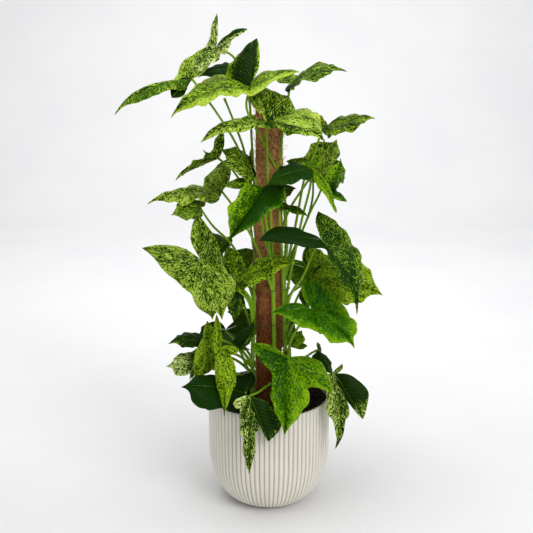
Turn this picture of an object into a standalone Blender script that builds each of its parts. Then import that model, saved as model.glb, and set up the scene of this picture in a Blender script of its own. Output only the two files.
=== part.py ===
"""Potted arrowhead plant climbing a coir pole in a ribbed pot, at rest.

Metres, +Z up, front towards -Y. The origin is the middle of the pot's base.
Places of leaves and stems are given in millimetres, as (x, y, z).
"""

import math

import bmesh
import bpy
import numpy as np

MM = 0.001

# Pot, a rounded bowl shape with upright rounded ribs.
POT_HEIGHT = 0.200
POT_RADIUS = 0.110
POT_BASE_RADIUS = 0.052
POT_SHOULDER = 0.100
POT_WALL = 0.0036
RIB_COUNT = 80
RIB_DEPTH = 0.0020
RIB_FLAT = 0.46
POT_LEVELS = (0.0, 0.005, 0.018, 0.045, 0.090, 0.200)
POT_INNER_LEVELS = (0.008, 0.018, 0.045, 0.090, 0.200)
POT_INNER_SIDES = 40

# Potting soil, up to a little below the rim.
SOIL_TOP = 0.186
SOIL_GAP = 0.0004

# Climbing pole: a coir sleeve over a wooden core.
SLEEVE_RADIUS = 0.0225
SLEEVE_BOTTOM = 0.050
SLEEVE_TOP = 0.720
SLEEVE_BORE = 0.0133
SLEEVE_CAP = 0.008
SLEEVE_SIDES = 20
CORE_RADIUS = 0.0130
CORE_BOTTOM = 0.020

# Stems stand round the pole and start in the soil.
STEM_RADIUS = 4.4
STEM_FOOT = 120
PETIOLE_RADIUS = 2.2
PETIOLE_END_RADIUS = 1.5
BLADE_THICKNESS = 0.8
BLADE_CLEARANCE = 2.3

# Thin ties that hold the stems to the pole: height and radius of the cord.
TIE_HEIGHTS = (401, 339)
TIE_RADIUS = 0.8
TIE_REACH = 46

STEMS = {
    "front": [(10, -33, 120), (10, -33, 185), (9, -31, 300), (7, -30.5, 400), (6, -30, 470)],
    "front_right": [(34, -24, 120), (34, -24, 185), (29, -20, 280), (26, -18, 380), (24, -18, 440)],
    "left": [(-30, -20, 120), (-30, -20, 185), (-29, -13, 280), (-27, -12, 360), (-26, -13, 420)],
    "back_right": [(22, 28, 120), (22, 28, 185), (18, 26, 300), (17, 25, 400), (16, 25, 490)],
    "back_left": [(-22, 28, 120), (-22, 28, 185), (-20, 25, 300), (-18, 24, 400), (-18, 24, 460)],
}

# A leaf: where the petiole meets the blade, then its three tips and the widest
# point of either side of the middle lobe. The rest is shape, as a share of length.
LEAVES = {}


def leaf(name, at, tip, left, right, stem, node, via, **shape):
    """One leaf, its stem, the height of its node and the points its petiole passes."""
    LEAVES[name] = dict(shape, at=at, tip=tip, left=left, right=right, stem=stem, node=node, via=via)


leaf(
    "leaf_crown",
    at=(-87, 0, 807),
    tip=(-122, -45, 768),
    left=(-35, -5, 837),
    right=(-85, 10, 862),
    cheek_left=(-88, -40, 786),
    cheek_right=(-116, -10, 795),
    outer_right=0.05,
    inner_right=0.1,
    outer_left=0.08,
    inner_left=0.3,
    bend=0.05,
    look="cream",
    stem="back_left",
    node=424,
    via=[(-29, 19, 641), (-35, 13, 731), (-57, 21, 789)],
)
leaf(
    "leaf_top_far_left",
    at=(-127, -5, 758),
    tip=(-249, -60, 710),
    left=(-157, -40, 730),
    right=(-107, 30, 806),
    cheek_left=(-191, -50, 732),
    cheek_right=(-179, -15, 752),
    bend=0.08,
    outer_right=0.35,
    inner_right=0.35,
    waist_right=0.2,
    outer_left=0.2,
    stem="back_left",
    node=415,
    via=[(-33, 12, 578), (-53, 4, 643), (-85, -6, 699)],
)
leaf(
    "leaf_top_back",
    at=(-53, 60, 772),
    tip=(-120, 30, 760),
    left=(-33, 50, 749),
    right=(-30, 95, 787),
    cheek_left=(-79, 30, 759),
    cheek_right=(-81, 60, 780),
    look="dark",
    stem="back_right",
    node=478,
    via=[(21, 46, 585), (-10, 51, 700)],
)
leaf(
    "leaf_top_left",
    at=(-31, -35, 747),
    tip=(-155, -95, 710),
    left=(50, -15, 769),
    right=(-20, 15, 822),
    cheek_left=(-100, -105, 726),
    cheek_right=(-78, 5, 765),
    bend=0.08,
    inner_right=0.22,
    inner_left=0.6,
    outer_left=0.16,
    outer_right=0.25,
    stem="front_right",
    node=371,
    via=[(27, -17, 557), (-2, -29, 641), (-36, -39, 710)],
)
leaf(
    "leaf_top_right",
    at=(35, 11, 748),
    tip=(126, -9, 774),
    left=(13, 51, 757),
    right=(32, -24, 736),
    cheek_left=(82, 31, 780),
    cheek_right=(76, -24, 760),
    bend=0.06,
    look="dark",
    stem="front_right",
    node=420,
    via=[(17, -34, 560), (21, -20, 660), (27, 1, 700)],
)
leaf(
    "leaf_top_front",
    at=(-4, -53, 693),
    tip=(88, -118, 672),
    left=(-19, 7, 742),
    right=(-108, -98, 665),
    cheek_left=(59, -18, 713),
    cheek_right=(35, -113, 682),
    bend=0.06,
    lobe_bend=0.1,
    inner_left=0.4,
    outer_left=0.25,
    inner_right=0.3,
    outer_right=0.2,
    stem="front",
    node=455,
    via=[(2, -32, 543), (-2, -32, 589), (-4, -38, 662)],
)
leaf(
    "leaf_top_far_right",
    at=(87, 0, 672),
    tip=(174, -15, 698),
    left=(82, 35, 695),
    right=(101, -40, 670),
    cheek_left=(137, 20, 696),
    cheek_right=(135, -40, 678),
    bend=0.03,
    stem="front_right",
    node=412,
    via=[(46, 1, 512), (60, -1, 591), (76, 7, 632)],
)
leaf(
    "leaf_left_curled",
    at=(-86, 20, 623),
    tip=(-159, -15, 594),
    left=(-112, 0, 640),
    right=(-80, 50, 666),
    cheek_left=(-124, -15, 613),
    cheek_right=(-123, 15, 622),
    wave=0.05,
    inner=0.2,
    bend=0.02,
    stem="back_left",
    node=395,
    via=[(-40, 10, 552), (-59, 12, 599)],
)
leaf(
    "leaf_left_long",
    at=(-81, 15, 567),
    tip=(-204, -35, 560),
    left=(-104, -40, 559),
    right=(-76, 60, 614),
    cheek_left=(-135, -40, 557),
    cheek_right=(-140, 20, 571),
    waist_right=0.25,
    outer_right=0.22,
    bend=0.03,
    stem="front",
    node=400,
    via=[(-19, -32, 474), (-40, -14, 512), (-62, 2, 543)],
)
leaf(
    "leaf_left_under",
    at=(-116, -18, 545),
    tip=(-161, -63, 543),
    left=(-134, -58, 537),
    right=(-112, 6, 551),
    cheek_left=(-142, -68, 533),
    cheek_right=(-144, -23, 559),
    bend=0.05,
    stem="left",
    node=382,
    via=[(-50, 0, 445), (-67, -2, 479), (-96, -19, 513)],
)
leaf(
    "leaf_centre_left",
    at=(-22, -38, 599),
    tip=(-78, -60, 651),
    left=(-73, -80, 593),
    right=(-30, -14, 645),
    cheek_left=(-62, -75, 621),
    cheek_right=(-40, -15, 639),
    outer_left=0.1,
    inner_left=0.25,
    stem="front",
    node=440,
    via=[(-9, -33, 506), (-15, -35, 553)],
)
leaf(
    "leaf_centre_front",
    at=(-9, -55, 587),
    tip=(-67, -105, 505),
    left=(28, -50, 596),
    right=(-59, -80, 591),
    cheek_left=(27, -85, 578),
    cheek_right=(-63, -105, 570),
    inner=0.2,
    waist=0.2,
    look="bright",
    stem="front",
    node=425,
    via=[(-2, -38, 502), (-7, -44, 546)],
)
leaf(
    "leaf_right_upper",
    at=(78, 31, 580),
    tip=(117, 21, 654),
    left=(49, 11, 618),
    right=(131, 51, 594),
    cheek_left=(68, 11, 645),
    cheek_right=(119, 36, 624),
    stem="back_right",
    node=400,
    via=[(62, 14, 507), (75, 24, 549)],
)
leaf(
    "leaf_right_edge",
    at=(90, 0, 571),
    tip=(121, -15, 627),
    left=(111, -50, 542),
    right=(132, -15, 554),
    cheek_left=(98, -20, 606),
    cheek_right=(129, 5, 591),
    inner_right=0.4,
    look="bright",
    stem="back_right",
    node=380,
    via=[(64, 8, 514), (84, 3, 559)],
)
leaf(
    "leaf_right_arching",
    at=(71, -36, 615),
    tip=(-5, -91, 598),
    left=(107, -76, 549),
    right=(83, 9, 622),
    cheek_left=(28, -91, 595),
    cheek_right=(31, -36, 622),
    inner_left=0.25,
    outer_left=0.2,
    look="bright",
    stem="front_right",
    node=370,
    via=[(54, -12, 513), (68, -22, 577)],
)
leaf(
    "leaf_right_slim",
    at=(25, -30, 550),
    tip=(67, -55, 536),
    left=(18, -20, 555),
    right=(16, -50, 547),
    cheek_left=(45, -35, 551),
    cheek_right=(41, -50, 542),
    stem="front_right",
    node=428,
    via=[(31, -21, 479), (27, -19, 523)],
)
leaf(
    "leaf_left_large",
    at=(-113, -75, 468),
    tip=(-76, -110, 375),
    left=(-119, -45, 541),
    right=(-209, -85, 491),
    cheek_left=(-60, -75, 433),
    cheek_right=(-136, -105, 427),
    waist_right=0.3,
    outer_right=0.08,
    waist_left=0.18,
    inner_left=0.3,
    inner_right=0.2,
    bend=0.06,
    look="cream",
    stem="left",
    node=285,
    via=[(-32, -30, 370), (-53, -46, 407), (-89, -62, 437)],
)
leaf(
    "leaf_left_pale",
    at=(-111, -35, 431),
    tip=(-96, -60, 358),
    left=(-78, -25, 419),
    right=(-149, -40, 409),
    cheek_left=(-81, -45, 389),
    cheek_right=(-127, -50, 391),
    stem="left",
    node=370,
    via=[(-54, -17, 406), (-92, -23, 421)],
)
leaf(
    "leaf_left_shaded",
    at=(-70, 7, 468),
    tip=(-107, -13, 494),
    left=(-92, -13, 458),
    right=(-69, 27, 484),
    cheek_left=(-102, -13, 474),
    cheek_right=(-88, 17, 490),
    look="dark",
    stem="left",
    node=406,
    via=[(-40, -11, 426), (-57, 1, 448)],
)
leaf(
    "leaf_middle_front",
    at=(-56, -50, 419),
    tip=(46, -90, 471),
    left=(-71, -5, 474),
    right=(-55, -80, 414),
    cheek_left=(-2, -60, 473),
    cheek_right=(-9, -90, 438),
    outer_left=0.3,
    waist_left=0.15,
    stem="left",
    node=320,
    via=[(-30, -28, 378), (-43, -40, 405)],
)
leaf(
    "leaf_left_hanging",
    at=(-50, -30, 408),
    tip=(-60, -50, 353),
    left=(-40, -15, 383),
    right=(-74, -30, 402),
    cheek_left=(-45, -30, 370),
    cheek_right=(-72, -50, 385),
    look="dark",
    stem="left",
    node=318,
    via=[(-40, -13, 357), (-49, -13, 388)],
)
leaf(
    "leaf_young_left",
    at=(-51, -45, 298),
    tip=(-25, -35, 348),
    left=(-59, -60, 313),
    right=(-33, -40, 296),
    cheek_left=(-55, -55, 327),
    cheek_right=(-30, -30, 314),
    look="dark",
    stem="left",
    node=237,
    via=[(-40, -22, 258), (-47, -31, 282)],
)
leaf(
    "leaf_right_bright",
    at=(72, -75, 383),
    tip=(142, -125, 333),
    left=(63, -45, 434),
    right=(5, -100, 384),
    cheek_left=(137, -85, 377),
    cheek_right=(83, -125, 356),
    waist_left=0.35,
    outer_left=0.22,
    waist_right=0.2,
    bend=0.05,
    look="bright",
    stem="front_right",
    node=256,
    via=[(37, -48, 314), (55, -57, 352)],
)
leaf(
    "leaf_right_inner",
    at=(68, -25, 368),
    tip=(53, -30, 400),
    left=(46, -35, 375),
    right=(78, -20, 388),
    cheek_left=(52, -35, 388),
    cheek_right=(73, -25, 395),
    stem="front_right",
    node=307,
    via=[(41, -24, 334), (54, -21, 355)],
)
leaf(
    "leaf_right_streaked",
    at=(85, -75, 503),
    tip=(147, -125, 392),
    left=(82, -35, 542),
    right=(-18, -110, 509),
    cheek_left=(141, -60, 498),
    cheek_right=(107, -120, 468),
    bend=0.06,
    waist_left=0.22,
    outer_left=0.32,
    inner_right=0.45,
    outer_right=0.12,
    inner_left=0.2,
    look="dark",
    stem="front_right",
    node=350,
    via=[(39, -34, 399), (57, -46, 430), (71, -62, 471)],
)
leaf(
    "leaf_right_olive",
    at=(68, -10, 423),
    tip=(194, -50, 402),
    left=(65, 10, 470),
    right=(95, -40, 366),
    cheek_left=(152, 10, 449),
    cheek_right=(129, -60, 388),
    waist_left=0.25,
    outer_left=0.25,
    bend=0.05,
    stem="front_right",
    node=320,
    via=[(47, -18, 379), (61, -14, 406)],
)
leaf(
    "leaf_low_left_wide",
    at=(-100, -35, 320),
    tip=(-130, -70, 250),
    left=(-86, -20, 329),
    right=(-108, -35, 348),
    cheek_left=(-87, -45, 275),
    cheek_right=(-127, -55, 292),
    stem="left",
    node=259,
    via=[(-53, -20, 292), (-84, -24, 309)],
)
leaf(
    "leaf_low_left_narrow",
    at=(-83, -80, 315),
    tip=(-75, -125, 208),
    left=(-51, -75, 309),
    right=(-90, -60, 369),
    cheek_left=(-56, -95, 277),
    cheek_right=(-88, -105, 276),
    inner_right=0.15,
    stem="left",
    node=254,
    via=[(-51, -30, 280), (-74, -56, 299)],
)
leaf(
    "leaf_low_left_small",
    at=(-119, -15, 305),
    tip=(-175, -45, 311),
    left=(-110, -45, 294),
    right=(-102, 10, 311),
    cheek_left=(-137, -45, 303),
    cheek_right=(-141, 0, 315),
    look="dark",
    stem="left",
    node=242,
    via=[(-55, -18, 266), (-97, -15, 287)],
)
leaf(
    "leaf_low_left_cream",
    at=(-124, -25, 267),
    tip=(-177, -65, 276),
    left=(-138, -60, 246),
    right=(-114, 10, 284),
    cheek_left=(-155, -60, 257),
    cheek_right=(-147, -20, 284),
    look="cream",
    stem="left",
    node=222,
    via=[(-61, -22, 246), (-104, -20, 253)],
)
leaf(
    "leaf_rim_left",
    at=(-40, -67, 227),
    tip=(-143, -132, 269),
    left=(-40, -87, 215),
    right=(-30, -27, 249),
    cheek_left=(-110, -135, 229),
    cheek_right=(-98, -57, 258),
    bend=0.05,
    look="dark",
    stem="left",
    node=222,
    via=[(-36, -30, 232), (-40, -53, 226)],
)
leaf(
    "leaf_rim_front",
    at=(-32, -106, 238),
    tip=(-34, -142, 108),
    left=(-1, -126, 163),
    right=(-61, -118, 229),
    cheek_left=(-9, -128, 190),
    cheek_right=(-49, -128, 195),
    waist_left=0.5,
    inner_left=0.4,
    outer_left=0.05,
    pinch_left=1.0,
    waist_right=0.25,
    look="cream",
    stem="front",
    node=222,
    via=[(3, -55, 239), (-19, -84, 235)],
)
leaf(
    "leaf_low_front",
    at=(32, -75, 295),
    tip=(26, -145, 185),
    left=(106, -105, 243),
    right=(-32, -85, 324),
    cheek_left=(68, -125, 245),
    cheek_right=(3, -125, 248),
    waist_left=0.38,
    inner_left=0.5,
    outer_left=0.05,
    pinch_left=0.85,
    waist_right=0.25,
    inner_right=0.2,
    bend=0.05,
    look="bright",
    stem="front",
    node=234,
    via=[(17, -48, 260), (26, -62, 283)],
)
leaf(
    "leaf_rim_right",
    at=(115, -35, 249),
    tip=(119, -90, 131),
    left=(165, -60, 173),
    right=(131, -10, 258),
    cheek_left=(141, -68, 204),
    cheek_right=(100, -80, 219),
    waist_left=0.45,
    outer_left=0.05,
    inner_left=0.35,
    pinch_left=1.0,
    look="cream",
    stem="front_right",
    node=222,
    via=[(54, -26, 235), (90, -27, 239)],
)
leaf(
    "leaf_low_right_dark",
    at=(85, -40, 296),
    tip=(111, -60, 255),
    left=(86, -20, 303),
    right=(75, -50, 277),
    cheek_left=(105, -40, 277),
    cheek_right=(88, -60, 270),
    look="dark",
    stem="front_right",
    node=234,
    via=[(49, -30, 265), (69, -34, 284)],
)
leaf(
    "leaf_low_young",
    at=(36, -40, 303),
    tip=(58, -30, 329),
    left=(26, -30, 329),
    right=(67, -50, 307),
    cheek_left=(42, -30, 324),
    cheek_right=(61, -45, 314),
    look="bright",
    stem="front_right",
    node=241,
    via=[(37, -26, 265), (37, -30, 288)],
)
leaf(
    "leaf_back_top",
    at=(9, 63, 688),
    tip=(68, 158, 677),
    left=(-54, 59, 683),
    right=(32, 5, 683),
    bend=0.1,
    stem="back_right",
    node=478,
    via=[(23, 41, 553), (15, 47, 634)],
)
leaf(
    "leaf_back_upper",
    at=(-13, 65, 556),
    tip=(-43, 160, 499),
    left=(-50, 15, 565),
    right=(48, 47, 565),
    bend=0.12,
    look="dark",
    stem="back_left",
    node=448,
    via=[(-24, 40, 487), (-17, 52, 530)],
)
leaf(
    "leaf_back_right_upper",
    at=(87, 81, 600),
    tip=(112, 171, 540),
    left=(30, 61, 611),
    right=(127, 34, 611),
    bend=0.12,
    stem="back_right",
    node=478,
    via=[(35, 42, 527), (65, 62, 570)],
)
leaf(
    "leaf_back_left",
    at=(-82, 61, 435),
    tip=(-117, 151, 367),
    left=(-118, 8, 449),
    right=(-19, 47, 449),
    bend=0.12,
    stem="back_left",
    node=373,
    via=[(-34, 34, 401), (-62, 48, 418)],
)
leaf(
    "leaf_back_right",
    at=(87, 93, 400),
    tip=(129, 178, 306),
    left=(17, 86, 421),
    right=(125, 33, 421),
    bend=0.12,
    look="bright",
    stem="back_right",
    node=338,
    via=[(39, 48, 371), (68, 72, 385)],
)
leaf(
    "leaf_back_low",
    at=(-2, 70, 313),
    tip=(34, 170, 216),
    left=(-77, 53, 335),
    right=(45, 9, 335),
    bend=0.14,
    stem="back_left",
    node=251,
    via=[(-22, 39, 275), (-11, 55, 297)],
)
leaf(
    "leaf_back_left_low",
    at=(-80, 60, 297),
    tip=(-108, 140, 202),
    left=(-122, 8, 320),
    right=(-14, 47, 320),
    bend=0.12,
    look="dark",
    stem="back_left",
    node=235,
    via=[(-41, 42, 264), (-65, 51, 284)],
)
leaf(
    "leaf_back_centre",
    at=(-2, 60, 428),
    tip=(10, 154, 350),
    left=(-50, 36, 442),
    right=(39, 25, 442),
    bend=0.12,
    stem="back_left",
    node=366,
    via=[(-18, 32, 388), (-10, 44, 410)],
)

# A petiole whose blade is still rolled, so it has no leaf.
ROLLED = dict(
    stem="back_left",
    node=440,
    via=[(-31, 20, 576), (-43, 18, 637), (-61, 14, 689), (-75, 10, 725)],
)


def unit(vector):
    return vector / max(np.linalg.norm(vector), 1e-9)


def across(vector, axis):
    """The part of a vector that is square to an axis."""
    return vector - axis * (vector @ axis) / (axis @ axis)


def evenly(points, count):
    """Points at even spacing along a line of points."""
    points = np.array(points)
    steps = np.linalg.norm(np.diff(points, axis=0), axis=1)
    run = np.concatenate([[0], np.cumsum(steps)])
    places = np.linspace(0, run[-1], count + 1)
    return np.stack([np.interp(places, run, points[:, k]) for k in range(3)], 1)


def shape_of(leaf, side, name, default):
    """A leaf's own value for one side, or for both, or the default."""
    value = leaf.get(name + ("_right" if side > 0 else "_left"))
    return leaf.get(name, default) if value is None else value


def cheek(leaf, side):
    """The widest point of the middle lobe on one side, from where the petiole ends."""
    start = np.array(leaf["at"], float)
    along = np.array(leaf["tip"]) - start
    given = shape_of(leaf, side, "cheek", None)
    if given is not None:
        return np.array(given) - start
    lobe = np.array(leaf["right" if side > 0 else "left"]) - start
    return 0.3 * along + unit(across(lobe, along)) * 0.36 * np.linalg.norm(along)


def upward(leaf):
    """The direction that the upper face of the middle lobe looks in."""
    along = np.array(leaf["tip"], float) - leaf["at"]
    right = unit(np.cross(cheek(leaf, 1), along))
    return unit(right + unit(np.cross(along, cheek(leaf, -1))))


def middle_margin(start, along, widest, waist, pinch):
    """The edge of the middle lobe from its tip back to its waist."""
    place = np.clip((widest @ along) / (along @ along), 0.12, 0.75)
    width = across(widest, along)
    waist = min(waist, place)
    line = []
    for t in np.linspace(1, place, 25):
        share = math.sin(math.pi / 2 * (1 - t) / (1 - place)) ** 1.15
        line.append(start + t * along + width * share)
    for t in np.linspace(place, waist, 8)[1:]:
        back = (place - t) / max(place - waist, 1e-6)
        line.append(start + t * along + width * (1 - (1 - pinch) * back * back))
    return line


def lobe_margins(start, tip, waist, outer, inner):
    """The two edges of a side lobe: waist to tip, and tip back to the petiole."""
    rib = tip - start
    reach = np.linalg.norm(rib)
    out = unit(across(waist - start, rib))
    t = np.linspace(0, 1, 16)[:, None]
    bulge = waist + 0.55 * (tip - waist) + out * outer * reach
    first = (1 - t) ** 2 * waist + 2 * t * (1 - t) * bulge + t**2 * tip
    near = tip - 0.30 * rib - out * inner * reach
    far = start + 0.25 * rib - out * inner * 0.8 * reach
    second = (1 - t) ** 3 * tip + 3 * t * (1 - t) ** 2 * near + 3 * t**2 * (1 - t) * far + t**3 * start
    return first, second, out


def half_frame(leaf, side, cuts):
    """Edge and rib points of half a blade, with the rise and the normal at each."""
    middle, outer, inner = cuts
    start = np.array(leaf["at"], float)
    along = np.array(leaf["tip"], float) - start
    tip = np.array(leaf["right" if side > 0 else "left"], float)
    rib = tip - start
    widest = cheek(leaf, side)
    place = np.clip((widest @ along) / (along @ along), 0.12, 0.75)
    arch = leaf.get("bend", 0.08) * np.linalg.norm(along) * 4 * place * (1 - place)
    widest = widest - upward(leaf) * arch
    waist = shape_of(leaf, side, "waist", 0.12)
    line = middle_margin(start, along, widest, waist, shape_of(leaf, side, "pinch", 0.9))
    bulges = shape_of(leaf, side, "outer", 0.14), shape_of(leaf, side, "inner", 0.30)
    first, second, out = lobe_margins(start, tip, line[-1], *bulges)
    edge = [evenly(line, middle), evenly(first, outer)[1:], evenly(second, inner)[1:]]
    rise = [
        np.linspace(1, 0, middle + 1) ** 1.1,
        np.linspace(0, 1, outer + 1)[1:],
        np.linspace(1, 0, inner + 1)[1:],
    ]
    ribs = [start + rise[0][:, None] * along] + [start + r[:, None] * rib for r in rise[1:]]
    normals = [side * unit(np.cross(across(widest, along), along))] * (middle + 1)
    normals += [side * unit(np.cross(rib, out))] * (outer + inner)
    is_middle = np.arange(middle + outer + inner + 1) <= middle
    return np.concatenate(edge), np.concatenate(ribs), np.concatenate(rise), np.array(normals), is_middle


def half_blade(leaf, side, cuts, rows):
    """A grid of points over half a blade, from rib to edge, arched, domed and waved."""
    edge, ribs, rise, normals, is_middle = half_frame(leaf, side, cuts)
    over = unit(half_frame(leaf, 1, (4, 2, 2))[3][0] + half_frame(leaf, -1, (4, 2, 2))[3][0])
    size = np.linalg.norm(np.array(leaf["tip"], float) - leaf["at"])
    lobe = np.linalg.norm(np.array(leaf["right" if side > 0 else "left"], float) - leaf["at"])
    out = np.linspace(0, 1, rows + 1)
    lobe_over = unit(normals[-1] + 0.7 * over)
    near = np.clip(rise / 0.35, 0, 1)[:, None]
    base = over * (1 - near) + np.where(is_middle[:, None], over, lobe_over) * near
    span = np.clip(3.5 * np.linalg.norm(edge - ribs, axis=1) / size, 0, 1)[:, None]
    turned = (0.6 * out[None, :] * span)[..., None]
    up = base[:, None] * (1 - turned) + normals[:, None] * turned
    up /= np.linalg.norm(up, axis=-1, keepdims=True)
    rise, out, middle = rise[:, None], out[None, :], is_middle[:, None]
    place = np.linspace(0, 1, len(rise))[:, None]
    arch = np.where(middle, leaf.get("bend", 0.08) * size, leaf.get("lobe_bend", 0.06) * lobe)
    lift = arch * 4 * rise * (1 - rise)
    dome = leaf.get("dome", 0.05) * np.where(middle, size, lobe)
    lift = lift + dome * 4 * out * (1 - out) * np.sqrt(np.clip(np.sin(np.pi * rise), 0, 1))
    turn = 2 * np.pi * leaf.get("waves", 3) * place + leaf.get("phase", 0) + (0 if side > 0 else 1.9)
    lift = lift + leaf.get("wave", 0.03) * size * out**2 * span * np.sin(turn)
    lift = lift - 0.05 * size * np.clip((rise - 0.7) / 0.3, 0, 1) ** 2 * middle
    flat = ribs[:, None] * (1 - out)[..., None] + edge[:, None] * out[..., None]
    return flat + lift[..., None] * up


def half_faces(index, side):
    """Triangles over a grid of vertex numbers, without those that have collapsed."""
    faces = []
    for i in range(len(index) - 1):
        for j in range(len(index[0]) - 1):
            a, b = index[i][j], index[i][j + 1]
            c, d = index[i + 1][j + 1], index[i + 1][j]
            pair = ((a, b, c), (a, c, d)) if (i + j) % 2 else ((a, b, d), (b, c, d))
            faces += [f if side < 0 else f[::-1] for f in pair if len(set(f)) == 3]
    return faces


def blade_surface(leaf, cuts, rows):
    """The middle surface of a blade, as points and triangles."""
    points, faces, seen = [], [], {}

    def number(point):
        key = tuple(np.round(point, 3))
        if key not in seen:
            seen[key] = len(points)
            points.append(point)
        return seen[key]

    for side in (1, -1):
        grid = half_blade(leaf, side, cuts, rows)
        index = [[number(point) for point in column] for column in grid]
        faces += half_faces(index, side)
    return np.array(points), faces


def corner_normals(points, faces):
    faces = np.array(faces)
    a, b, c = (points[faces[:, k]] for k in range(3))
    normals = np.zeros_like(points)
    for k in range(3):
        np.add.at(normals, faces[:, k], np.cross(b - a, c - a))
    return normals / np.maximum(np.linalg.norm(normals, axis=1, keepdims=True), 1e-9)


def thicken(points, faces, thickness):
    """A closed sheet: the surface moved out on both faces, and a rim between them."""
    shift = corner_normals(points, faces) * thickness / 2
    count = len(points)
    sides = {(f[k], f[(k + 1) % 3]) for f in faces for k in range(3)}
    closed = list(faces) + [tuple(v + count for v in reversed(f)) for f in faces]
    for a, b in sorted(s for s in sides if (s[1], s[0]) not in sides):
        closed += [(b, a, a + count), (b, a + count, b + count)]
    return np.concatenate([points + shift, points - shift]), closed


def new_object(name, points, faces, material):
    """A mesh object from points in metres; loose points are dropped."""
    mesh = bpy.data.meshes.new(name)
    shape = bmesh.new()
    corners = [shape.verts.new(point) for point in points]
    for face in faces:
        shape.faces.new([corners[v] for v in face])
    loose = [v for v in shape.verts if not v.link_faces]
    bmesh.ops.delete(shape, geom=loose, context="VERTS")
    shape.to_mesh(mesh)
    shape.free()
    mesh.materials.append(material)
    obj = bpy.data.objects.new(name, mesh)
    bpy.context.scene.collection.objects.link(obj)
    return obj


def material(name, colour, roughness=0.6):
    made = bpy.data.materials.new(name)
    made.use_nodes = True
    shader = made.node_tree.nodes["Principled BSDF"]
    shader.inputs["Base Color"].default_value = (*colour, 1)
    shader.inputs["Roughness"].default_value = roughness
    made.diffuse_color = (*colour, 1)
    return made


def ring(radius, height, sides, centre=(0, 0)):
    """Points round a circle, all at one height."""
    turns = [2 * math.pi * k / sides for k in range(sides)]
    return [(centre[0] + radius * math.cos(t), centre[1] + radius * math.sin(t), height) for t in turns]


def stack(rings):
    """Points and faces of a closed solid through rings of the same number of sides."""
    sides = len(rings[0])
    points = [point for loop in rings for point in loop]
    faces = [tuple(reversed(range(sides)))]
    for i in range(len(rings) - 1):
        for j in range(sides):
            a, b = i * sides + j, i * sides + (j + 1) % sides
            faces.append((a, b, b + sides, a + sides))
    faces.append(tuple(range((len(rings) - 1) * sides, len(rings) * sides)))
    return points, faces


def pot_radius(height):
    """Outer radius of the pot at a height: straight above the shoulder, rounded below."""
    drop = max(0.0, (POT_SHOULDER - height) / POT_SHOULDER)
    return POT_BASE_RADIUS + (POT_RADIUS - POT_BASE_RADIUS) * math.sqrt(max(0.0, 1 - drop * drop))


def inner_radius(height):
    return pot_radius(height) - RIB_DEPTH - POT_WALL * (1 + 1.5 * max(0.0, 1 - height / POT_SHOULDER))


def rib_ring(height):
    """One level of the ribbed wall: a groove, then the two edges of a rib's face."""
    points = []
    for rib in range(RIB_COUNT):
        for place, cut in ((0.0, RIB_DEPTH), (0.5 - RIB_FLAT / 2, 0.0), (0.5 + RIB_FLAT / 2, 0.0)):
            turn = 2 * math.pi * (rib + place) / RIB_COUNT
            radius = pot_radius(height) - cut
            points.append((radius * math.cos(turn), radius * math.sin(turn), height))
    return points


def fan_strip(outer_start, outer_count, inner_start, inner_count, outward):
    """Faces between a ring of many points and a ring of fewer, at one level."""
    step = outer_count // inner_count
    faces = []
    for j in range(inner_count):
        outer = [outer_start + (j * step + k) % outer_count for k in range(step + 1)]
        inner = [inner_start + (j + 1) % inner_count, inner_start + j]
        face = tuple(outer + inner)
        faces.append(face if outward else tuple(reversed(face)))
    return faces


def wall_faces(start, levels, sides, outward):
    faces = []
    for i in range(levels - 1):
        for j in range(sides):
            a, b = start + i * sides + j, start + i * sides + (j + 1) % sides
            face = (a, b, b + sides, a + sides)
            faces.append(face if outward else tuple(reversed(face)))
    return faces


def make_pot(colour):
    """The ribbed wall, the flat rim, the smooth inside and the flat base."""
    outer = [point for height in POT_LEVELS for point in rib_ring(height)]
    inner = []
    for height in POT_INNER_LEVELS:
        inner += ring(inner_radius(height), height, POT_INNER_SIDES)
    foot = ring(POT_BASE_RADIUS - 0.006, 0.0, POT_INNER_SIDES)
    columns = 3 * RIB_COUNT
    inner_start = len(outer)
    foot_start = inner_start + len(inner)
    faces = wall_faces(0, len(POT_LEVELS), columns, True)
    faces += wall_faces(inner_start, len(POT_INNER_LEVELS), POT_INNER_SIDES, False)
    rim_inner = inner_start + (len(POT_INNER_LEVELS) - 1) * POT_INNER_SIDES
    faces += fan_strip((len(POT_LEVELS) - 1) * columns, columns, rim_inner, POT_INNER_SIDES, True)
    faces += fan_strip(0, columns, foot_start, POT_INNER_SIDES, False)
    faces.append(tuple(range(inner_start, inner_start + POT_INNER_SIDES)))
    faces.append(tuple(reversed(range(foot_start, foot_start + POT_INNER_SIDES))))
    return new_object("pot", outer + inner + foot, faces, colour)


def cutter(name, radius, bottom, top, sides, centre=(0, 0)):
    points, faces = stack([ring(radius, z, sides, centre) for z in (bottom, top)])
    obj = new_object(name, points, faces, bpy.data.materials["hidden cutter"])
    obj.hide_render = True
    obj.display_type = "WIRE"
    return obj


def apply_boolean(obj, operation, others):
    """One Boolean with a collection of other objects, applied; they are then removed."""
    group = bpy.data.collections.new(obj.name + " others")
    bpy.context.scene.collection.children.link(group)
    for other in others:
        bpy.context.scene.collection.objects.unlink(other)
        group.objects.link(other)
    modifier = obj.modifiers.new(operation.lower(), "BOOLEAN")
    modifier.operation = operation
    modifier.operand_type = "COLLECTION"
    modifier.collection = group
    modifier.solver = "EXACT"
    bpy.context.view_layer.objects.active = obj
    bpy.ops.object.modifier_apply(modifier=modifier.name)
    for other in others:
        bpy.data.objects.remove(other, do_unlink=True)
    bpy.data.collections.remove(group)


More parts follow.
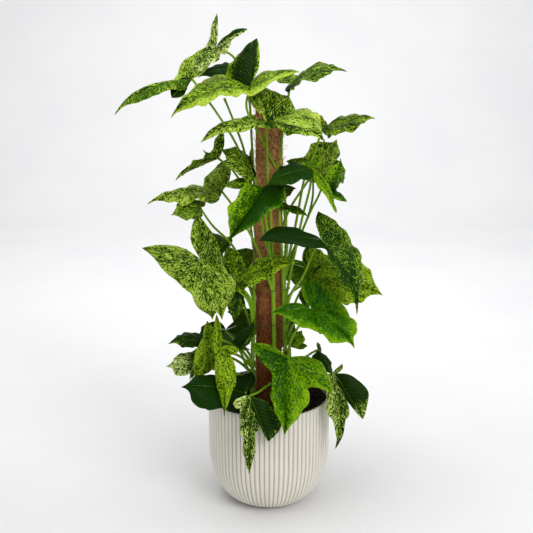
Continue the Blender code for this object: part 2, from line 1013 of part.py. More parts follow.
def make_soil(colour):
    """Soil that fills the pot, with an uneven top and plain holes for pole and stems."""
    chance = np.random.default_rng(4)
    rings = []
    for height in POT_INNER_LEVELS[:-1]:
        level = height + SOIL_GAP if height == POT_INNER_LEVELS[0] else height
        rings.append(ring(inner_radius(height) - SOIL_GAP, level, POT_INNER_SIDES))
    rings.append(ring(inner_radius(SOIL_TOP) - SOIL_GAP, SOIL_TOP, POT_INNER_SIDES))
    for share, bump in ((0.78, 0.0016), (0.52, 0.0020)):
        loop = ring(inner_radius(SOIL_TOP) * share, SOIL_TOP + 0.002, POT_INNER_SIDES)
        rings.append([(x, y, z + bump * chance.uniform(-1, 1)) for x, y, z in loop])
    points, faces = stack(rings)
    faces.pop()
    last = len(points) - POT_INNER_SIDES
    points.append((0, 0, SOIL_TOP + 0.003))
    faces += [(last + j, last + (j + 1) % POT_INNER_SIDES, len(points) - 1) for j in range(POT_INNER_SIDES)]
    soil = new_object("soil", points, faces, colour)
    cutters = [
        cutter("sleeve hole", SLEEVE_RADIUS + 0.0004, SLEEVE_BOTTOM - 0.0004, 0.25, SLEEVE_SIDES),
        cutter("core hole", CORE_RADIUS + 0.0004, CORE_BOTTOM - 0.0004, 0.06, 16),
    ]
    for name, line in STEMS.items():
        x, y, _ = line[0]
        hole = (STEM_RADIUS + 0.5) * MM
        cutters.append(cutter(name + " hole", hole, (STEM_FOOT - 0.4) * MM, 0.25, 12, (x * MM, y * MM)))
    apply_boolean(soil, "DIFFERENCE", cutters)
    return soil


def make_sleeve(colour):
    """The coir sleeve, a little lumpy above the soil, with a blind bore for the core."""
    chance = np.random.default_rng(9)
    heights = [SLEEVE_BOTTOM, 0.21, 0.28, 0.35, 0.42, 0.49, 0.56, 0.63, 0.69, SLEEVE_TOP - 0.003, SLEEVE_TOP]
    rings = []
    for height in heights:
        lump = 0.0007 if 0.25 < height < 0.7 else 0.0
        inset = 0.0035 if height == SLEEVE_TOP else 0.0
        loop = []
        for x, y, z in ring(1.0, height, SLEEVE_SIDES):
            radius = SLEEVE_RADIUS - inset + lump * chance.uniform(-1, 1)
            loop.append((x * radius, y * radius, z))
        rings.append(loop)
    points, faces = stack(rings)
    sleeve = new_object("coir_sleeve", points, faces, colour)
    bore = cutter("sleeve bore", SLEEVE_BORE, SLEEVE_BOTTOM - 0.01, SLEEVE_TOP - SLEEVE_CAP, 16)
    apply_boolean(sleeve, "DIFFERENCE", [bore])
    return sleeve


def make_core(colour):
    top = SLEEVE_TOP - SLEEVE_CAP - SOIL_GAP
    rings = [ring(CORE_RADIUS, z, 16) for z in (CORE_BOTTOM, top)]
    return new_object("pole_core", *stack(rings), colour)


def smooth_path(points, count):
    """Places at even spacing along a smooth line through the points."""
    points = np.array(points, float)
    ends = [2 * points[0] - points[1]], [2 * points[-1] - points[-2]]
    knots = np.concatenate([ends[0], points, ends[1]])
    run = np.concatenate([[0], np.cumsum(np.linalg.norm(np.diff(points, axis=0), axis=1))])
    path = []
    for place in np.linspace(0, run[-1], count):
        i = min(np.searchsorted(run, place, side="right") - 1, len(points) - 2)
        t = (place - run[i]) / (run[i + 1] - run[i])
        a, b, c, d = knots[i : i + 4]
        bend = (2 * a - 5 * b + 4 * c - d) * t * t + (-a + 3 * b - 3 * c + d) * t**3
        path.append(0.5 * (2 * b + (c - a) * t + bend))
    return np.array(path)


def tube(path, radii, sides, closed=False):
    """Points and faces of a round bar along a path, in the path's own unit."""
    ahead = np.roll(path, -1, axis=0) - np.roll(path, 1, axis=0) if closed else np.gradient(path, axis=0)
    ahead /= np.linalg.norm(ahead, axis=1, keepdims=True)
    reference = np.array([1.0, 0, 0]) if abs(ahead[0][0]) < 0.8 else np.array([0, 1.0, 0])
    side = unit(np.cross(ahead[0], reference))
    turns = np.arange(sides) * 2 * math.pi / sides
    rings = []
    for place, way, radius in zip(path, ahead, radii):
        side = unit(side - way * (side @ way))
        other = np.cross(way, side)
        rings.append([place + radius * (math.cos(t) * side + math.sin(t) * other) for t in turns])
    if not closed:
        return stack(rings)
    points = [point for loop in rings for point in loop]
    faces = []
    for i in range(len(rings)):
        for j in range(sides):
            a, b = i * sides + j, i * sides + (j + 1) % sides
            c, d = (b + sides) % len(points), (a + sides) % len(points)
            faces.append((a, b, c, d))
    return points, faces


def stem_place(name, height):
    """The middle of a stem at a height."""
    line = np.array(STEMS[name], float)
    return np.array([np.interp(height, line[:, 2], line[:, k]) for k in (0, 1)] + [height])


def stalk_path(item):
    """The middle line of a leaf stalk, from inside its stem to just under its blade."""
    if "at" in item:
        along = unit(np.array(item["tip"], float) - item["at"])
        end = np.array(item["at"], float) - upward(item) * BLADE_CLEARANCE - along * 0.5
        points = [stem_place(item["stem"], item["node"])] + [np.array(p, float) for p in item["via"]] + [end]
    else:
        points = [stem_place(item["stem"], item["node"])] + [np.array(p, float) for p in item["via"]]
    length = sum(np.linalg.norm(b - a) for a, b in zip(points, points[1:]))
    return smooth_path(points, int(min(8, max(4, 3 + length // 45))))


def stalk(name, item, colour):
    path = stalk_path(item)
    radii = np.linspace(PETIOLE_RADIUS, PETIOLE_END_RADIUS, len(path))
    radii[-1] = 1.0
    points, faces = tube(path, radii, 5)
    return new_object(name, [p * MM for p in points], faces, colour)


def make_stem(name, colour):
    """A stem and the stalks that grow from it, as one body."""
    line = np.array(STEMS[name], float)
    radii = np.linspace(STEM_RADIUS, STEM_RADIUS - 0.8, len(line))
    points, faces = tube(line, radii, 7)
    stem = new_object("stem_" + name, [p * MM for p in points], faces, colour)
    items = [(leaf_name, item) for leaf_name, item in LEAVES.items() if item["stem"] == name]
    if ROLLED["stem"] == name:
        items.append(("rolled leaf", ROLLED))
    apply_boolean(stem, "UNION", [stalk(own + " stalk", item, colour) for own, item in items])
    return stem


def make_blade(name, item, colour):
    """One leaf blade as a thin closed sheet."""
    size = np.linalg.norm(np.array(item["tip"], float) - item["at"])
    cuts = (7, 3, 3) if size > 78 else (5, 2, 2)
    points, faces = thicken(*blade_surface(item, cuts, 2), BLADE_THICKNESS)
    return new_object(name, points * MM, faces, colour)


def hull(points):
    """The outline of points in a plane, anticlockwise."""
    points = sorted(map(tuple, points))
    chains = []
    for ordered in (points, points[::-1]):
        chain = []
        for p in ordered:
            while len(chain) > 1:
                a, b = chain[-2], chain[-1]
                if (b[0] - a[0]) * (p[1] - a[1]) - (b[1] - a[1]) * (p[0] - a[0]) > 1e-9:
                    break
                chain.pop()
            chain.append(p)
        chains += chain[:-1]
    return np.array(chains)


def stalks_at(height):
    """Where stalks near the pole pass a height."""
    places = []
    for item in list(LEAVES.values()) + [ROLLED]:
        path = stalk_path(item)
        for a, b in zip(path, path[1:]):
            if (a[2] - height) * (b[2] - height) < 0:
                place = a + (b - a) * (height - a[2]) / (b[2] - a[2])
                if math.hypot(place[0], place[1]) < TIE_REACH:
                    places.append(place)
    return places


def make_tie(name, height, colour):
    """A thin cord drawn tight round the pole, the stems and the stalks beside them."""
    margin = TIE_RADIUS + 0.5
    around = [(p[0] / MM, p[1] / MM) for p in ring(SLEEVE_RADIUS + 0.0009 + margin * MM, 0, 24)]
    for stem in STEMS:
        if STEMS[stem][-1][2] < height:
            continue
        x, y, _ = stem_place(stem, height)
        loop = ring(STEM_RADIUS + 0.4 + margin, 0, 12, (x, y))
        around += [(p[0], p[1]) for p in loop]
    for place in stalks_at(height):
        loop = ring(PETIOLE_RADIUS * 1.6 + margin, 0, 12, (place[0], place[1]))
        around += [(p[0], p[1]) for p in loop]
    outline = hull(around)
    line = np.column_stack([np.append(outline, outline[:1], axis=0), np.full(len(outline) + 1, height)])
    path = evenly(line, 26)[:-1]
    points, faces = tube(path, [TIE_RADIUS] * len(path), 5, closed=True)
    return new_object(name, [p * MM for p in points], faces, colour)


def main():
    for obj in list(bpy.data.objects):
        bpy.data.objects.remove(obj, do_unlink=True)
    material("hidden cutter", (0.5, 0.5, 0.5))
    make_pot(material("pot white", (0.83, 0.82, 0.77), 0.5))
    make_soil(material("potting soil", (0.020, 0.014, 0.010), 0.95))
    make_sleeve(material("coir", (0.16, 0.075, 0.032), 0.95))
    make_core(material("pole wood", (0.42, 0.28, 0.15), 0.8))
    stem_green = material("stem green", (0.19, 0.33, 0.045), 0.5)
    for name in STEMS:
        make_stem(name, stem_green)
    greens = {
        "mottled": material("leaf mottled", (0.24, 0.42, 0.07), 0.4),
        "cream": material("leaf cream", (0.50, 0.62, 0.20), 0.4),
        "dark": material("leaf dark", (0.025, 0.12, 0.015), 0.35),
        "bright": material("leaf bright", (0.14, 0.38, 0.03), 0.35),
    }
    for name, item in LEAVES.items():
        make_blade(name, item, greens[item.get("look", "mottled")])
    tie_green = material("tie pale", (0.62, 0.66, 0.42), 0.6)
    for number, height in enumerate(TIE_HEIGHTS):
        make_tie(("tie_upper", "tie_lower")[number], height, tie_green)


main()
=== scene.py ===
"""An arrowhead plant on a coir pole in a ribbed pot: the looks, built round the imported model."""

import math

import bmesh
import bpy
import numpy as np
from mathutils import Matrix, Vector, noise


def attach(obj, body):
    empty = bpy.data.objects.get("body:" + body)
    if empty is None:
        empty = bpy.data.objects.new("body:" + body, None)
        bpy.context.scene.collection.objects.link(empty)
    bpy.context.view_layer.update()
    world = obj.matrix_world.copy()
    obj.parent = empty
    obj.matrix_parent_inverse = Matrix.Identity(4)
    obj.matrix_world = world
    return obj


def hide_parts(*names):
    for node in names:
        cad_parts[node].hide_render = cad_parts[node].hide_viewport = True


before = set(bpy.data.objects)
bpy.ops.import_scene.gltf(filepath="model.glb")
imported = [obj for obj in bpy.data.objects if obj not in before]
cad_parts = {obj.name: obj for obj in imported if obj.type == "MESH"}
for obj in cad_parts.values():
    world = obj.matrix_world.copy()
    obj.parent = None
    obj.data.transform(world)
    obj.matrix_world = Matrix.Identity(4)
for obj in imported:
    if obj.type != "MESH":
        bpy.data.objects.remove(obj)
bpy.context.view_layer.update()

# Camera, floor and light: a small white studio. The floor sweeps up into the wall behind, large
# soft lamps stand at the front right and overhead, and the camera looks slightly down.
CAMERA_PLACE = (-0.0045, -1.5, 0.852)
CAMERA_PITCH_DEG = 15.5
FOCAL_PX, PHOTO_PX = 891, 533
FLOOR_HALF = 6.0
SWEEP_START, CURVE_RUN, CURVE_RISE = 2.2, 1.0, 0.9
WORLD_LIGHT, WORLD_SEEN = 0.44, 0.93


def linear(code):
    """A colour written as an sRGB hex value, turned to linear."""
    parts = [int(code[i : i + 2], 16) / 255 for i in (1, 3, 5)]
    return (*(p / 12.92 if p <= 0.04045 else ((p + 0.055) / 1.055) ** 2.4 for p in parts), 1.0)


def add_node(material, kind, inputs=None, stops=None, **settings):
    """Adds a shader node; an input takes a value or the output that feeds it."""
    made = material.node_tree.nodes.new("ShaderNode" + kind)
    for name, value in settings.items():
        setattr(made, name, value)
    for name, value in (inputs or {}).items():
        if isinstance(value, bpy.types.NodeSocket):
            material.node_tree.links.new(value, made.inputs[name])
        else:
            made.inputs[name].default_value = value
    for number, (place, code) in enumerate(stops or ()):
        elements = made.color_ramp.elements
        stop = elements[number] if number < 2 else elements.new(place)
        stop.position = place
        stop.color = linear(code)
    return made


def new_material(name, roughness, shine=0.5):
    """A material and its shader, with the values that are the same all over."""
    made = bpy.data.materials.new(name)
    made.use_nodes = True
    shader = made.node_tree.nodes["Principled BSDF"]
    shader.inputs["Roughness"].default_value = roughness
    shader.inputs["Specular IOR Level"].default_value = shine
    return made, shader


def feed(material, shader, **sources):
    """Links outputs to the shader's sockets, such as Base_Color."""
    for name, source in sources.items():
        material.node_tree.links.new(source, shader.inputs[name.replace("_", " ")])


def white_paper():
    """Matt white background paper, with a trace of tone from its pulp."""
    material, shader = new_material("matt white background paper", 0.9, 0.2)
    place = add_node(material, "TexCoord").outputs["Object"]
    pulp = add_node(material, "TexNoise", {"Vector": place, "Scale": 3.0, "Detail": 2.0})
    stops = [(0.3, "#eeeeef"), (0.7, "#f2f2f2")]
    colour = add_node(material, "ValToRGB", {"Fac": pulp.outputs["Fac"]}, stops=stops)
    feed(material, shader, Base_Color=colour.outputs["Color"])
    return material


def make_floor():
    """A flat floor whose far edge sweeps up into a wall."""
    shape = bmesh.new()
    bmesh.ops.create_grid(shape, x_segments=24, y_segments=60, size=FLOOR_HALF)
    for vert in shape.verts:
        run = max(0.0, vert.co.y - SWEEP_START)
        beyond = max(0.0, run - CURVE_RUN)
        vert.co.z = CURVE_RISE * min(run, CURVE_RUN) ** 2 + 2 * CURVE_RISE * beyond
        vert.co.y -= CURVE_RISE * beyond
    mesh = bpy.data.meshes.new("floor")
    shape.to_mesh(mesh)
    shape.free()
    mesh.shade_smooth()
    mesh.materials.append(white_paper())
    floor = bpy.data.objects.new("floor", mesh)
    bpy.context.scene.collection.objects.link(floor)


def add_lamp(name, place, aim, width, watts):
    """A large square soft lamp, turned towards a point."""
    light = bpy.data.lights.new(name, "AREA")
    light.shape = "SQUARE"
    light.size = width
    light.energy = watts
    lamp = bpy.data.objects.new(name, light)
    lamp.location = place
    lamp.rotation_euler = (Vector(aim) - Vector(place)).to_track_quat("-Z", "Y").to_euler()
    bpy.context.scene.collection.objects.link(lamp)


def set_studio():
    scene = bpy.context.scene
    scene.view_settings.view_transform = "Standard"
    scene.view_settings.gamma = 0.90
    world = bpy.data.worlds.new("white studio")
    world.use_nodes = True
    seen = world.node_tree.nodes.new("ShaderNodeLightPath").outputs["Is Camera Ray"]
    strength = world.node_tree.nodes.new("ShaderNodeMapRange")
    strength.inputs["To Min"].default_value = WORLD_LIGHT
    strength.inputs["To Max"].default_value = WORLD_SEEN
    world.node_tree.links.new(seen, strength.inputs["Value"])
    background = world.node_tree.nodes["Background"]
    background.inputs["Color"].default_value = linear("#fdfdff")
    world.node_tree.links.new(strength.outputs["Result"], background.inputs["Strength"])
    scene.world = world
    add_lamp("front_right_softbox", (1.3, -1.9, 1.9), (0, 0, 0.4), 1.3, 29)
    add_lamp("overhead_softbox", (-0.2, -0.2, 2.6), (0, 0, 0.3), 2.0, 31)
    add_lamp("wall_softbox", (0, 1.0, 2.4), (0, 3.4, 1.2), 2.4, 33)
    lens = bpy.data.cameras.new("camera")
    lens.sensor_width = 36.0
    lens.lens = FOCAL_PX / PHOTO_PX * lens.sensor_width
    camera = bpy.data.objects.new("camera", lens)
    camera.location = CAMERA_PLACE
    camera.rotation_euler = (math.radians(90 - CAMERA_PITCH_DEG), 0, 0)
    scene.collection.objects.link(camera)
    scene.camera = camera


make_floor()
set_studio()

# Pot: slip-cast stoneware, moulded with upright rounded ribs from the foot to the rim and dipped
# in a matt off-white glaze. The glaze is thin and pale on the ribs, and shade is painted into the
# grooves and inside the pot, a little darker and warmer. The base is a small flat foot.
MM = 0.001
POT_HEIGHT = 0.200
POT_RADIUS = 0.110
FOOT_RADIUS = 0.052
SHOULDER = 0.100
POT_WALL = 0.0036
RIM_WALL = 0.0030
RIBS = 80
RIB_DEPTH = 0.0020
COLUMNS_PER_RIB = 8
GROOVE_SHARE = 0.13
# Share of the painted groove shade that darkens the inside of the pot.
INSIDE_SHADE = 0.3
SAME_SPOT = 2e-6
SHARP_EDGE_DEG = 55


def add_piece(name, shape, material, slot, *nodes):
    """Turns a bmesh into a piece that rides on the plant and stands for the given nodes."""
    bmesh.ops.remove_doubles(shape, verts=shape.verts, dist=SAME_SPOT)
    bmesh.ops.recalc_face_normals(shape, faces=shape.faces)
    mesh = bpy.data.meshes.new(name)
    shape.to_mesh(mesh)
    shape.free()
    mesh.shade_smooth()
    mesh.set_sharp_from_angle(angle=math.radians(SHARP_EDGE_DEG))
    mesh.materials.append(material)
    piece = bpy.data.objects.new(name, mesh)
    bpy.context.scene.collection.objects.link(piece)
    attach(piece, "root")
    if nodes:
        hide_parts(*nodes)
    return piece


def wrap_grid(shape, columns, rings, place):
    """Adds a sheet closed round the upright axis; place gives the point of a column and ring."""
    made = bmesh.ops.create_grid(shape, x_segments=columns, y_segments=rings - 1, size=1)["verts"]
    for vert in made:
        column = round((vert.co.x + 1) / 2 * columns) % columns
        vert.co = place(column, round((vert.co.y + 1) / 2 * (rings - 1)))


def pot_radius(height):
    """The pot's outer radius: straight above the shoulder, rounded in to the foot below it."""
    drop = max(0.0, (SHOULDER - height) / SHOULDER)
    return FOOT_RADIUS + (POT_RADIUS - FOOT_RADIUS) * math.sqrt(max(0.0, 1 - drop * drop))


def inner_radius(height):
    return pot_radius(height) - RIB_DEPTH - POT_WALL * (1 + 1.5 * max(0.0, 1 - height / SHOULDER))


def pot_profile():
    """Radius, height and share of the ribs at each ring, from under the foot to the inside base."""
    # The underside is dished by 1.2 mm, then the wall rounds out, where the ribs begin.
    rings = [(0.0, 0.0012, 0), (0.040, 0.0012, 0), (0.043, 0.0, 0), (FOOT_RADIUS - 0.003, 0.0, 0)]
    for step in range(1, 13):
        height = SHOULDER * (1 - math.cos(math.pi / 2 * step / 12))
        rings.append((pot_radius(height), height, min(1.0, step / 3)))
    straight = np.linspace(SHOULDER + 0.012, POT_HEIGHT - 0.0012, 7)
    rings += [(POT_RADIUS, height, 1) for height in straight]

    # The rim is rounded and thin, and the ribs run over it and fade out just inside.
    rings.append((POT_RADIUS - 0.0005, POT_HEIGHT - 0.0003, 1))
    rings.append((POT_RADIUS - 0.0013, POT_HEIGHT, 1))
    rings.append((POT_RADIUS - RIM_WALL + 0.0006, POT_HEIGHT, 1))
    rings.append((POT_RADIUS - RIM_WALL, POT_HEIGHT - 0.0006, 1))
    rings.append((POT_RADIUS - RIM_WALL - 0.0004, POT_HEIGHT - 0.004, 0.5))
    inside = (0.190, 0.17, 0.12, 0.08, 0.05, 0.03, 0.018, 0.0095)
    rings += [(inner_radius(height), height, 0) for height in inside]
    rings += [(0.045, 0.008, 0), (0.0, 0.008, 0)]
    return rings


def rib_cut(column):
    """How far a column lies in a groove, from 0 on a rib's face to 1 at the groove's bottom."""
    share = (column % COLUMNS_PER_RIB) / COLUMNS_PER_RIB
    side = min(share, 1 - share)
    return math.exp(-((side / GROOVE_SHARE) ** 2)) + 0.10 * (1 - 2 * side) ** 2


def make_pot():
    profile = pot_profile()

    def place(column, ring):
        radius, height, ribbed = profile[ring]
        radius -= RIB_DEPTH * min(1.0, rib_cut(column)) * ribbed
        turn = 2 * math.pi * column / (RIBS * COLUMNS_PER_RIB)
        return radius * math.cos(turn), radius * math.sin(turn), height

    shape = bmesh.new()
    wrap_grid(shape, RIBS * COLUMNS_PER_RIB, len(profile), place)
    groove = shape.verts.layers.float.new("groove")
    for vert in shape.verts:
        x, y, z = vert.co
        depth = min(1.0, max(0.0, (pot_radius(z) - math.hypot(x, y)) / RIB_DEPTH))
        outside = math.hypot(x, y) > inner_radius(z) + 0.002
        # Painted shade: groove depth darkens the glaze outside, and the inside gets a fixed share.
        vert[groove] = depth if outside else INSIDE_SHADE
    add_piece("ribbed_pot", shape, matt_glaze(), "pot", "pot")


def matt_glaze():
    """Matt off-white glaze: soft sheen, painted shade warmer and darker in the grooves and inside,
    faint drifts of tone.
    """
    material, shader = new_material("matt off-white glaze", 0.42, 0.45)
    place = add_node(material, "TexCoord").outputs["Object"]
    drift = add_node(material, "TexNoise", {"Vector": place, "Scale": 14.0, "Detail": 3.0})
    speck = add_node(material, "TexNoise", {"Vector": place, "Scale": 900.0, "Detail": 2.0})
    groove = add_node(material, "Attribute", attribute_name="groove").outputs["Fac"]
    drift, speck = drift.outputs["Fac"], speck.outputs["Fac"]
    stops = [(0.3, "#e9e5d9"), (0.7, "#f0ece1")]
    face = add_node(material, "ValToRGB", {"Fac": drift}, stops=stops).outputs["Color"]
    # Painted shade: the glaze is mixed towards a darker, warmer colour in the grooves and inside.
    pair = {0: groove, 6: face, 7: linear("#c2bcac")}
    painted_groove_shade = add_node(material, "Mix", pair, data_type="RGBA").outputs[2]
    bump = add_node(material, "Bump", {"Height": speck, "Strength": 0.06, "Distance": 0.0004})
    span = {"Value": drift, "From Min": 0.3, "From Max": 0.7, "To Min": 0.38, "To Max": 0.48}
    rough = add_node(material, "MapRange", span).outputs["Result"]
    feed(material, shader, Base_Color=painted_groove_shade, Roughness=rough, Normal=bump.outputs["Normal"])
    return material


make_pot()

# Potting soil: dark moist peat with fine composted bark, firmed in up to a little below the rim.
# Its surface is uneven and strewn with loose crumbs and bark chips.
SOIL_TOP = 0.186
SOIL_GAP = 0.0004
SOIL_COLUMNS, SOIL_RINGS = 120, 34
CRUMBS = 1500


def colour_by(material, shader, pattern, stops, strength, depth):
    """Colours a material along a ramp and raises its relief, both by one pattern."""
    colour = add_node(material, "ValToRGB", {"Fac": pattern}, stops=stops)
    bump = add_node(material, "Bump", {"Height": pattern, "Strength": strength, "Distance": depth})
    feed(material, shader, Base_Color=colour.outputs["Color"], Normal=bump.outputs["Normal"])
    return material


def dark_peat():
    """Moist peat and bark: almost black, brown only where a crumb has dried, and quite matt."""
    material, shader = new_material("moist peat and bark", 0.92, 0.25)
    place = add_node(material, "TexCoord").outputs["Object"]
    inputs = {"Vector": place, "Scale": 420.0, "Detail": 5.0, "Roughness": 0.7}
    grit = add_node(material, "TexNoise", inputs).outputs["Fac"]
    stops = [(0.36, "#0f0a07"), (0.54, "#21160e"), (0.68, "#4a321f")]
    return colour_by(material, shader, grit, stops, 0.7, 0.0012)


def soil_level(x, y):
    """Height of the soil's surface, uneven at the scale of a fingertip and of a crumb."""
    lumps = noise.noise(Vector((x * 38, y * 38, 2.0))) * 0.0030
    return SOIL_TOP + 0.002 + lumps + noise.noise(Vector((x * 190, y * 190, 7.0))) * 0.0012


def make_soil():
    low = (0.018, 0.045, 0.09, 0.15)
    wall = [(0.0, 0.0085), (0.044, 0.0085)] + [(inner_radius(h) - SOIL_GAP, h) for h in low]
    top = np.linspace(inner_radius(SOIL_TOP) - SOIL_GAP, 0, SOIL_RINGS)

    def place(column, ring):
        radius, height = wall[ring] if ring < len(wall) else (top[ring - len(wall)], None)
        turn = 2 * math.pi * column / SOIL_COLUMNS
        x, y = radius * math.cos(turn), radius * math.sin(turn)
        return x, y, soil_level(x, y) if height is None else height

    shape = bmesh.new()
    wrap_grid(shape, SOIL_COLUMNS, len(wall) + len(top), place)
    chance = np.random.default_rng(5)
    for _ in range(CRUMBS):
        reach = (inner_radius(SOIL_TOP) - 0.003) * math.sqrt(chance.uniform(0.02, 1))
        turn = chance.uniform(0, 2 * math.pi)
        x, y = reach * math.cos(turn), reach * math.sin(turn)
        size = chance.uniform(0.0008, 0.0022) * (1.7 if chance.random() < 0.08 else 1)
        stretch = Matrix.Diagonal((*chance.uniform((0.7, 0.5, 0.35), (1.5, 1.0, 0.8)), 1.0))
        spin = Matrix.Rotation(chance.uniform(0, 6.28), 4, "Z")
        tilt = spin @ Matrix.Rotation(chance.uniform(-0.6, 0.6), 4, "X")
        where = Matrix.Translation((x, y, soil_level(x, y) + size * 0.2)) @ tilt @ stretch
        bmesh.ops.create_icosphere(shape, subdivisions=1, radius=size, matrix=where)
    add_piece("potting_soil", shape, dark_peat(), "soil", "soil")


make_soil()

# Pole core: a turned length of pale softwood that stiffens the pole. The coir covers it all, and
# it stands in the soil, so only its material is set here.


def pale_softwood():
    """Planed spruce: pale, with fine darker lines of late wood along the pole."""
    material, shader = new_material("planed spruce", 0.65, 0.35)
    place = add_node(material, "TexCoord").outputs["Object"]
    grain = add_node(material, "Mapping", {"Vector": place, "Scale": (260.0, 260.0, 9.0)})
    inputs = {"Vector": grain.outputs["Vector"], "Scale": 1.0, "Detail": 4.0}
    lines = add_node(material, "TexNoise", inputs).outputs["Fac"]
    stops = [(0.38, "#a9824f"), (0.6, "#d3b27c")]
    return colour_by(material, shader, lines, stops, 0.2, 0.0003)


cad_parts["pole_core"].data.materials[0] = pale_softwood()

# Coir sleeve: coconut husk fibre felted round the core and held with latex. The mat is darker
# and redder below and warm brown above, with painted shade in its hollows; loose fibres lie over
# it in all directions, and stray ends stand out round it like short hairs.
SLEEVE_RADIUS = 0.0225
SLEEVE_FOOT = 0.050
SLEEVE_TOP = 0.720
RUFFLE = 0.0011
MAT_COLUMNS, MAT_RINGS = 72, 190
BASE_RINGS, CAP_RINGS = 2, 4
FIBRE_RADIUS = 0.00028
FIBRES = 5200
STRAY_SHARE = 0.13


def coir(name, low, high, dark):
    """Coconut fibre: dull brown, darker and redder low on the pole, with painted shade in the hollows
    of the mat.
    """
    material, shader = new_material(name, 0.85, 0.2)
    place = add_node(material, "TexCoord").outputs["Object"]
    height = add_node(material, "SeparateXYZ", {"Vector": place}).outputs["Z"]
    span = {"Value": height, "From Min": 0.28, "From Max": 0.60}
    rise = add_node(material, "MapRange", span, interpolation_type="SMOOTHSTEP").outputs["Result"]
    # Darker and redder lower down the pole.
    pair = {0: rise, 6: linear(low), 7: linear(high)}
    body = add_node(material, "Mix", pair, data_type="RGBA").outputs[2]
    inputs = {"Vector": place, "Scale": 210.0, "Detail": 6.0, "Roughness": 0.75}
    clumps = add_node(material, "TexNoise", inputs).outputs["Fac"]
    # Painted shade: where the relief is low, the colour is darkened towards the dark colour.
    span = {"Value": clumps, "From Min": 0.34, "From Max": 0.54}
    depth = add_node(material, "MapRange", span).outputs["Result"]
    pair = {0: depth, 6: linear(dark), 7: body}
    colour = add_node(material, "Mix", pair, data_type="RGBA").outputs[2]
    bump = add_node(material, "Bump", {"Height": clumps, "Strength": 0.9, "Distance": 0.0015})
    feed(material, shader, Base_Color=colour, Normal=bump.outputs["Normal"])
    return material


def make_mat():
    wall_rings = MAT_RINGS - BASE_RINGS - CAP_RINGS
    heights = np.linspace(SLEEVE_FOOT, SLEEVE_TOP, wall_rings)

    def place(column, ring):
        turn = 2 * math.pi * column / MAT_COLUMNS
        inner = min(ring, BASE_RINGS) / BASE_RINGS
        height = heights[min(max(ring - BASE_RINGS, 0), wall_rings - 1)]
        top = max(0, ring - BASE_RINGS - wall_rings + 1) / CAP_RINGS
        radius = SLEEVE_RADIUS * inner * math.sqrt(1 - top)
        ruffle = noise.noise(Vector((math.cos(turn) * 2.6, math.sin(turn) * 2.6, height * 110)))
        radius += RUFFLE * ruffle * inner * (top == 0)
        return radius * math.cos(turn), radius * math.sin(turn), height + 0.0015 * math.sqrt(top)

    shape = bmesh.new()
    wrap_grid(shape, MAT_COLUMNS, MAT_RINGS, place)
    material = coir("felted coir mat", "#92542a", "#dc9e64", "#4a2610")
    add_piece("coir_mat", shape, material, "coir", "coir_sleeve")


def fibre_path(chance):
    """Four points of one loose fibre, lying on the mat or, for a stray one, standing out of it."""
    turn, height = chance.uniform(0, 2 * math.pi), chance.uniform(0.188, SLEEVE_TOP)
    length = chance.uniform(0.010, 0.034)
    lean = chance.normal(0.0, 0.9)
    stray = chance.random() < STRAY_SHARE
    lift = chance.uniform(0.004, 0.011) if stray else chance.uniform(0.0003, 0.0012)
    sag = chance.uniform(-0.004, 0.004)
    points = []
    for share in (0.0, 0.35, 0.7, 1.0):
        out = SLEEVE_RADIUS - 0.0005 + lift * (share**1.5 if stray else math.sin(math.pi * share))
        around = turn + math.sin(lean) * length * share / SLEEVE_RADIUS
        level = height + math.cos(lean) * length * share + sag * share * share
        points.append((out * math.cos(around), out * math.sin(around), min(level, SLEEVE_TOP + 0.006)))
    return points


def make_fibres():
    chance = np.random.default_rng(12)
    strands = bpy.data.curves.new("coir_fibres", "CURVE")
    strands.dimensions = "3D"
    strands.bevel_depth = FIBRE_RADIUS
    strands.bevel_resolution = 0
    strands.resolution_u = 1
    for _ in range(FIBRES):
        strand = strands.splines.new("POLY")
        strand.points.add(3)
        for point, place in zip(strand.points, fibre_path(chance)):
            point.co = (*place, 1.0)
            point.radius = chance.uniform(0.6, 1.3)
    holder = bpy.data.objects.new("coir_strands", strands)
    bpy.context.scene.collection.objects.link(holder)
    graph = bpy.context.evaluated_depsgraph_get()
    mesh = bpy.data.meshes.new_from_object(holder.evaluated_get(graph))
    bpy.data.objects.remove(holder)
    shape = bmesh.new()
    shape.from_mesh(mesh)
    material = coir("loose coir fibre", "#c07e48", "#f6c890", "#6c3e1e")
    add_piece("coir_fibres", shape, material, "coir")


make_mat()
make_fibres()

# Stems and leaf stalks: living green tissue, round and juicy. Five shoots stand round the pole,
# ringed where old leaves were shed, and each stalk clasps its shoot with a widened sheath.
STEM_RADIUS, STEM_TIP_RADIUS = 4.4 * MM, 4.4 * MM - 0.8 * MM
SHOOT_RINGS = 110
STALK_RADIUS, STALK_END_RADIUS = 2.5 * MM, 1.8 * MM
JOINT_SPACING = 0.038
STEMS = {
    "front": [(10, -33, 120), (10, -33, 185), (9, -31, 300), (7, -30.5, 400), (6, -30, 470)],
    "front_right": [(34, -24, 120), (34, -24, 185), (29, -20, 280), (26, -18, 380), (24, -18, 440)],
    "left": [(-30, -20, 120), (-30, -20, 185), (-29, -13, 280), (-27, -12, 360), (-26, -13, 420)],
    "back_right": [(22, 28, 120), (22, 28, 185), (18, 26, 300), (17, 25, 400), (16, 25, 490)],
    "back_left": [(-22, 28, 120), (-22, 28, 185), (-20, 25, 300), (-18, 24, 400), (-18, 24, 460)],
}

